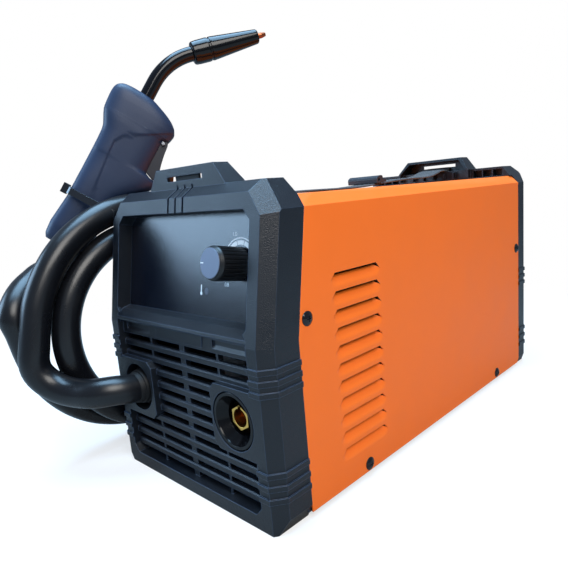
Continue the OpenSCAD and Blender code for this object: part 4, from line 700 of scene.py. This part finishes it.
# %% Boot of the handle and sleeve of the bezel
def ribbed(length, r0, r1, ribs, depth):
    """Profile of a tapered sleeve with closed ends: r0 at the root falls to r1, and a groove `depth` deep
    lies between each rib and the next. A rib takes 56% of its step, and the groove the rest."""
    z = np.linspace(0, length, 24 * ribs + 1)
    phase = z / length * ribs % 1
    wall = r0 + (r1 - r0) * z / length
    groove = np.clip((np.abs(phase - 0.5) - 0.28) / 0.06, 0, 1) * depth
    groove[(z < length / ribs / 2) | (z > length * (1 - 0.5 / ribs))] = 0
    root = [(0.05, -1.0), (r0 - 0.8, -1.0), (r0, -0.2)]
    return [*root, *zip(wall - groove, z), (r1 - 0.5, length + 0.5), (0.05, length + 0.5)]


boot_rubber = finish_of("boot rubber", paint(8, 8, 10), 0.55, 0.0006, 0.00002, 0.0004, None, 0.05, 0.02,
                        Specular_IOR_Level=0.3)
boot_space = TORCH @ moved(-15, 0, -6) @ turned("y", -90)
boot_grid = along(turned_shape(ribbed(14.0, 13.3, 11.9, 4, 0.7)), boot_space)
boot = piece("torch_boot", [boot_grid], boot_rubber, "machine", ["handle_boot"], 30)
relief_space = moved(*HOSE_EXIT) @ turned("x", 90)
relief_grid = along(turned_shape(ribbed(13.0, 16.6, 12.2, 4, 0.9)), relief_space)
relief = piece("hose_relief", [relief_grid], boot_rubber, "machine", (), 30)

# %% [markdown]
# ## Torch handle
# The handle is two moulded shells. Its outline is easiest to give as stations along the grip: how far the
# back and the trigger side reach, and how much the shell has thinned. Between them everything is blended
# smoothly, and a line where the two mouldings meet runs from the guard to the top.

# %% Stations and section
SLOT, SLOT_HALF = (74.0, 111.6), 8.0  # where the trigger's slot begins and ends, and half its width
floor_at = ([74, 79, 109, 111.6], [37, 27, 27, 31])  # how far its floor lies towards the trigger side
# each station: place along the grip, reach of the back, reach of the trigger side, thinning
stations = np.array([
    [-15, -13, 20, 3.5], [-11, -15, 23, 1.5], [0, -15.6, 24, 0], [12, -14.4, 24, 0], [26, -13, 24.5, 0],
    [38, -13, 25.5, 0], [45, -13, 28.5, 0], [51, -12.9, 33.5, 0], [57, -12.9, 39.8, 0], [63, -12.9, 46, 0],
    [67.5, -12.9, 48.8, 0], [72, -12.9, 48.6, 0], [73.6, -12.9, 46, 0], [76, -12.9, 37.2, 0],
    [84, -13, 37, 0], [92, -13.3, 37, 0], [96, -14, 37, 0], [99, -15.2, 37, 0], [105, -18, 37, 0],
    [109, -19.6, 37.6, 0.2], [112, -20.2, 42.4, 0.3], [119, -20.8, 43.8, 0.6], [124.5, -21, 41, 1],
    [128.5, -20.8, 36.2, 1.6], [131.7, -20.2, 30, 2.4], [134.5, -18.6, 22.6, 3.8], [137, -15, 16, 6.5],
    [138, -10, 12.5, 9.5]])
seam = np.array([
    [-20, 9.0], [0, 8.0], [20, 6.6], [32.6, 5.8], [46.1, 4.6], [62, 3.2], [77.7, 1.7], [87.6, 1.5],
    [94.9, 5.7], [100.5, 13], [106.2, 22.2], [112, 31], [119, 41], [123, 46], [140, 60]])
slot_levels = [SLOT[0] - 0.01, SLOT[0], 79.0, 109.0, SLOT[1] - 0.01, SLOT[1]]
levels = np.unique(np.concatenate([np.arange(-15, 138.01, 0.75), slot_levels]))
edges_at = np.stack([np.interp(levels, stations[:, 0], stations[:, k]) for k in (1, 2, 3)], -1)
for k in range(3):
    wide = np.convolve(np.pad(edges_at[:, k], 2, "edge"), np.array([1, 2, 3, 2, 1]) / 9, "valid")
    edges_at[3:-3, k] = wide[3:-3]
print(len(levels), "levels along the handle")


def grip_half(side):
    """One shell. The section is y = 0.05 + (15.95 - thinner) sin^0.6 a and t = m + d cos^0.6 a, from the
    trigger side at a = 0 to the back. Along the slot the front, |y| < 8, is the slot's floor. On the
    trigger side of the seam the shell steps back, and the seam is a groove of the depth
    exp(-(distance / 0.55)^2) / 2."""
    front_points = 12
    y_front = np.linspace(0.05, SLOT_HALF, front_points)
    rows = []
    for s, (back, front, thinner) in zip(levels, edges_at):
        half, m, d = 16 - thinner, (back + front) / 2, (front - back) / 2
        reach = min(1.0, ((SLOT_HALF - 0.05) / (half - 0.05)) ** (1 / 0.6))
        split = math.asin(reach) if half > SLOT_HALF + 0.1 else math.pi / 2
        a = np.concatenate([np.arcsin(np.clip((y_front - 0.05) / (half - 0.05), 0, 1) ** (1 / 0.6)),
                            split + (math.pi - split) * np.linspace(0, 1, 90)])
        y = 0.05 + (half - 0.05) * np.sin(a).clip(0) ** 0.6
        t = m + d * np.sign(np.cos(a)) * np.abs(np.cos(a)) ** 0.6
        if SLOT[0] <= s < SLOT[1]:
            t[:front_points] = np.minimum(t[:front_points], np.interp(s, *floor_at))
        line = np.interp(s, seam[:, 0], seam[:, 1])
        step = 0.85 * np.clip((t - line) / 0.7, 0, 1) * np.clip((y - 8.2) / 2, 0, 1)
        groove = 0.5 * np.exp(-(((t - line) / 0.55) ** 2)) * np.clip((y - 2) / 2, 0, 1)
        rows.append(np.stack([np.full(len(a), s), side * (y - step - groove), -t], -1))
    rows = np.array(rows)
    ends = [np.repeat(rows[i].mean(0)[None, None], rows.shape[1], 1) for i in (0, -1)]
    return np.concatenate([ends[0], rows, ends[1]])


for side, way in ((1, "left"), (-1, "right")):
    piece("grip_" + way, [along(grip_half(side), TORCH)], grip_blue, "machine",
          ["torch_handle_" + way], 32)

# %% [markdown]
# ## Carrying strap
# The strap is woven nylon webbing, 30 mm wide and 2 mm thick, pulled over the cover between the two end
# frames. Its edges are thin and rounded, and the weave is fine ribs across it.

# %% Strap
HALF_WIDE, HALF_THICK, EDGE_POINTS = 15, 0.95, 61
strap_line = [(29.7, 239.0), (29.7, 235.0), (30.3, 231.6), (34.0, 229.6), (45.05, 229.4), (51.05, 226),
              (59.05, 220.6), (69.05, 218.3), (120, 218.2), (213.2, 218.2), (240.2, 219.2),
              (256.2, 220.2), (320.2, 223), (365.2, 226.4), (384.2, 229.4), (394.7, 229.6), (397.0, 232.6)]
middle = spline_through([(0, y, z) for y, z in strap_line], 1.0)
middle[:, 0] = 0
t, _, _ = carried_frames(middle, (1, 0, 0))
upwards = np.cross([1.0, 0, 0], t)
x = np.linspace(-HALF_WIDE, HALF_WIDE, EDGE_POINTS)
x = np.concatenate([x, x[::-1][1:-1]])
thick = HALF_THICK * (1 - np.abs(x / HALF_WIDE) ** 24) ** 0.5
thick = np.where(np.arange(len(x)) < EDGE_POINTS, thick, -thick)
# woven ribs across it, and a slow wave of its edges
ribs = 0.06 * np.sign(thick) * np.abs(np.sin(np.arange(len(middle)) * 0.9))[:, None]
wave = 0.2 * np.sin(np.arange(len(middle)) / 31)[:, None] * (x / HALF_WIDE) ** 2
web = middle[:, None] * (0, 1, 1) + (thick + ribs + wave)[..., None] * upwards[:, None]
web[..., 0] = x
web = np.concatenate([np.repeat(web[:1].mean(1, keepdims=True), len(x), 1), web,
                      np.repeat(web[-1:].mean(1, keepdims=True), len(x), 1)])

# %% Webbing
woven, tree, body = new_material("woven strap")
place = add(tree, "ShaderNodeTexCoord").outputs["Object"]
threads = add(tree, "ShaderNodeMapping", {"Vector": place, "Scale": (700.0, 1100.0, 700.0)}).outputs[0]
over = add(tree, "ShaderNodeTexChecker", {"Vector": threads, "Scale": 1.0}).outputs["Fac"]
fuzz = add(tree, "ShaderNodeTexNoise", {"Vector": place, "Scale": 2600.0, "Detail": 2.0})
height = math_node(tree, "ADD", over, fuzz.outputs[0])
bump = add(tree, "ShaderNodeBump", {"Height": height, "Distance": 0.00012, "Strength": 0.8})
tree.links.new(mixed(tree, over, paint(16, 17, 19), paint(30, 32, 36)), body.inputs["Base Color"])
tree.links.new(bump.outputs[0], body.inputs["Normal"])
body.inputs["Roughness"].default_value = 0.72
body.inputs["Sheen Weight"].default_value = 0.25
strap = piece("strap_webbing", [row_frame(web)], woven, "machine", ["carry_strap"], 50)

# %% [markdown]
# ## Knob cap and dial
# The knob has a flat cap let into its front, with a pale line that points at the setting. The scale behind
# it is printed on the panel: a ring of bands, an arc round it and the wire sizes, and a mark beside the lamp.

# %% Knob cap
DIAL = np.array([59, 51.76])  # the knob's middle: x, and how far up the face
CAP_R, KNOB_OUT, PANEL_DEPTH = 9.7, 12.3, 12
FACE = moved(0, 0, 126) @ turned("x", -10)
KNOB = FACE @ moved(DIAL[0], -KNOB_OUT, DIAL[1]) @ turned("x", 90)
cap_plastic = finish_of("knob cap", paint(84, 95, 118), 0.42, 0.0004, 0.00001, 0.0003, paint(150, 160, 176))
ring = np.stack([CAP_R * np.cos(angles), CAP_R * np.sin(angles)], -1)
cap = slab(ring, [(-0.3, 0), (0.25, 0), (0.45, 0.2)])
piece("knob_cap", [along(cap, KNOB)], cap_plastic, "knob")
white_print = finish_of("pale print", paint(236, 240, 246), 0.5, 0.0004, 0.000002, 0.0001)
tick = [(-9.3, -0.3), (-6.4, -0.3), (-6.4, 0.3), (-9.3, 0.3)]
pointer = slab(tick, [(0.3, 0), (0.52, 0)])
piece("knob_pointer", [along(pointer, KNOB)], white_print, "knob")


# %% Dial
def printed(name, points, faces, depth=0.04):
    """A flat print from points (x, up the face) in millimetres, laid `depth` in front of the panel."""
    p = np.asarray(points, float)
    mesh = bpy.data.meshes.new(name)
    at = np.stack([p[:, 0], np.full(len(p), PANEL_DEPTH - depth), p[:, 1]], -1)
    mesh.from_pydata(placed(at, FACE), [], faces)
    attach(shown(name, mesh, white_print), "machine")
    print(name, len(p), "points,", len(faces), "faces")


def digits(text, size):
    """A text as a flat mesh in its own plane, in millimetres: points (n, 2) and faces."""
    curve = bpy.data.curves.new("digits", "FONT")
    curve.body, curve.size, curve.align_x, curve.align_y = text, size, "CENTER", "CENTER"
    made = bpy.data.objects.new("digits", curve)
    mesh = made.to_mesh()
    points = np.array([v.co[:2] for v in mesh.vertices])
    faces = [tuple(p.vertices) for p in mesh.polygons]
    bpy.data.objects.remove(made)
    return points, faces


def arc_band(r0, r1, start, end, steps):
    """Outline of a band of a ring between two angles in degrees."""
    a = np.radians(np.linspace(start, end, steps))
    way = np.stack([np.cos(a), np.sin(a)], -1)
    return [*(DIAL + r1 * way), *(DIAL + r0 * way[::-1])]


BANDS, BAND_START, BAND_STEP, BAND_LONG = 9, 214, 27.8, 25.8
ARC_START, ARC_STEP = 212, 27.4
marks = [arc_band(12.7, 15.6, a, a - BAND_LONG, 12) for a in BAND_START - BAND_STEP * np.arange(BANDS)]
marks += [arc_band(16.7, 17.5, a, a - ARC_STEP, 14) for a in ARC_START - ARC_STEP * np.arange(BANDS)]
bulb = np.radians(np.linspace(115, 425, 24))
stem = np.array([23.5, 31.52]) - (5.7, 1.9)  # beside the lamp
drop = stem + 1.25 * np.stack([np.cos(bulb), np.sin(bulb)], -1)
marks.append([*drop, stem + (0.5, 6.2), stem + (-0.5, 6.2)])
starts = np.cumsum([0] + [len(mark) for mark in marks]).tolist()
printed("dial_scale", np.concatenate(marks), [tuple(range(a, b)) for a, b in zip(starts, starts[1:])])
WIRE_SIZES = (("0.8", 228, 19.4), ("1.0", 108, 20.4), ("1.2", -41, 18.6))  # text, angle, distance out
points, faces, start = [], [], 0
for text, turn, out in WIRE_SIZES:
    a = math.radians(turn)
    p, f = digits(text, 3.8)
    points.append(p + DIAL + out * np.array([math.cos(a), math.sin(a)]))
    faces += [tuple(i + start for i in face) for face in f]
    start += len(p)
printed("dial_numbers", np.concatenate(points), faces)

# %% [markdown]
# ## Floor and light
# A pale floor and a white background, with three soft lights: a warm one from the right for the orange
# side, and two cool ones from above and from the left, whose reflections give the dark plastic its blue
# sheen. Only the camera sees the white: light that bounces off the machine finds a greyer floor and a dimmer
# sky, or the dark plastic would look washed out.

# %% Floor
FADE_FROM, FADE_TO = 0.35, 0.8  # metres from the middle over which the floor turns into background
ground, tree, chalk = new_material("floor")
chalk.inputs["Base Color"].default_value = paint(252, 252, 252)
chalk.inputs["Roughness"].default_value = 0.9
stone = add(tree, "ShaderNodeBsdfDiffuse", {"Color": paint(158, 157, 154)})
looked_at = add(tree, "ShaderNodeLightPath").outputs["Is Camera Ray"]
plain = add(tree, "ShaderNodeMixShader", {0: looked_at, 1: stone.outputs[0], 2: chalk.outputs[0]})
place = add(tree, "ShaderNodeTexCoord").outputs["Object"]
away = add(tree, "ShaderNodeVectorMath", {0: place}, operation="LENGTH").outputs["Value"]
fade = add(tree, "ShaderNodeMapRange", {"Value": away, "From Min": FADE_FROM, "From Max": FADE_TO,
                                        "To Min": 0.62})
seen = math_node(tree, "MULTIPLY", fade.outputs[0], looked_at)
glow = add(tree, "ShaderNodeEmission", {"Color": (1.0, 1.0, 1.0, 1.0), "Strength": 1.0})
shade = add(tree, "ShaderNodeMixShader", {0: seen, 1: plain.outputs[0], 2: glow.outputs[0]})
tree.links.new(shade.outputs[0], tree.nodes["Material Output"].inputs["Surface"])
mesh = bpy.data.meshes.new("floor")
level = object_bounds()[0][2] - 0.0003
mesh.from_pydata([(x, y, level) for x, y in ((-8, -8), (8, -8), (8, 8), (-8, 8))], [], [(0, 1, 2, 3)])
shown("floor", mesh, ground)
print("floor at", round(level, 4))

# %% World and lights
SKY, SKY_DIM, MIRRORED = (0.72, 0.94, 1.25, 1.0), 0.21, 0.15
world = bpy.data.worlds.new("studio")
bpy.context.scene.world = world
world.use_nodes = True
tree = world.node_tree
path_of = add(tree, "ShaderNodeLightPath")
seen = math_node(tree, "MAXIMUM", path_of.outputs["Is Camera Ray"], path_of.outputs["Is Transmission Ray"])
mirrored = math_node(tree, "MULTIPLY", path_of.outputs["Is Glossy Ray"], MIRRORED)
seen = math_node(tree, "MAXIMUM", seen, mirrored)
strength = add(tree, "ShaderNodeMapRange", {"Value": seen, "To Min": SKY_DIM, "To Max": 1.0})
background = tree.nodes["Background"].inputs
tree.links.new(mixed(tree, seen, SKY, (1.0, 1.0, 1.0, 1.0)), background["Color"])
tree.links.new(strength.outputs[0], background["Strength"])


def soft_light(name, place, aim, power, size, colour):
    """A square area light at a place, turned to face the point aim."""
    lamp = bpy.data.lights.new(name, "AREA")
    lamp.energy, lamp.size, lamp.color = power, size, colour
    made = bpy.data.objects.new(name, lamp)
    bpy.context.scene.collection.objects.link(made)
    z = np.array(place, float) - aim
    z /= np.linalg.norm(z)
    x = np.cross([0.0, 0.02, 1.0], z)
    x /= np.linalg.norm(x)
    m = np.eye(4)
    m[:3, 0], m[:3, 1], m[:3, 2], m[:3, 3] = x, np.cross(z, x), z, place
    made.matrix_world = Matrix(m.tolist())
    print(name, "light:", power, "W")


soft_light("key", (1.25, -0.5, 1.25), (0, 0.15, 0.1), 27, 1.0, (1.0, 0.97, 0.92))
soft_light("top", (-0.1, 0.1, 1.8), (0, 0.15, 0.1), 70, 1.3, (0.4, 0.69, 1.0))
soft_light("window", (-1.25, -1.05, 0.74), (0, 0.05, 0.15), 20, 0.9, (0.46, 0.71, 1.0))
bpy.context.scene.view_settings.view_transform = "Standard"
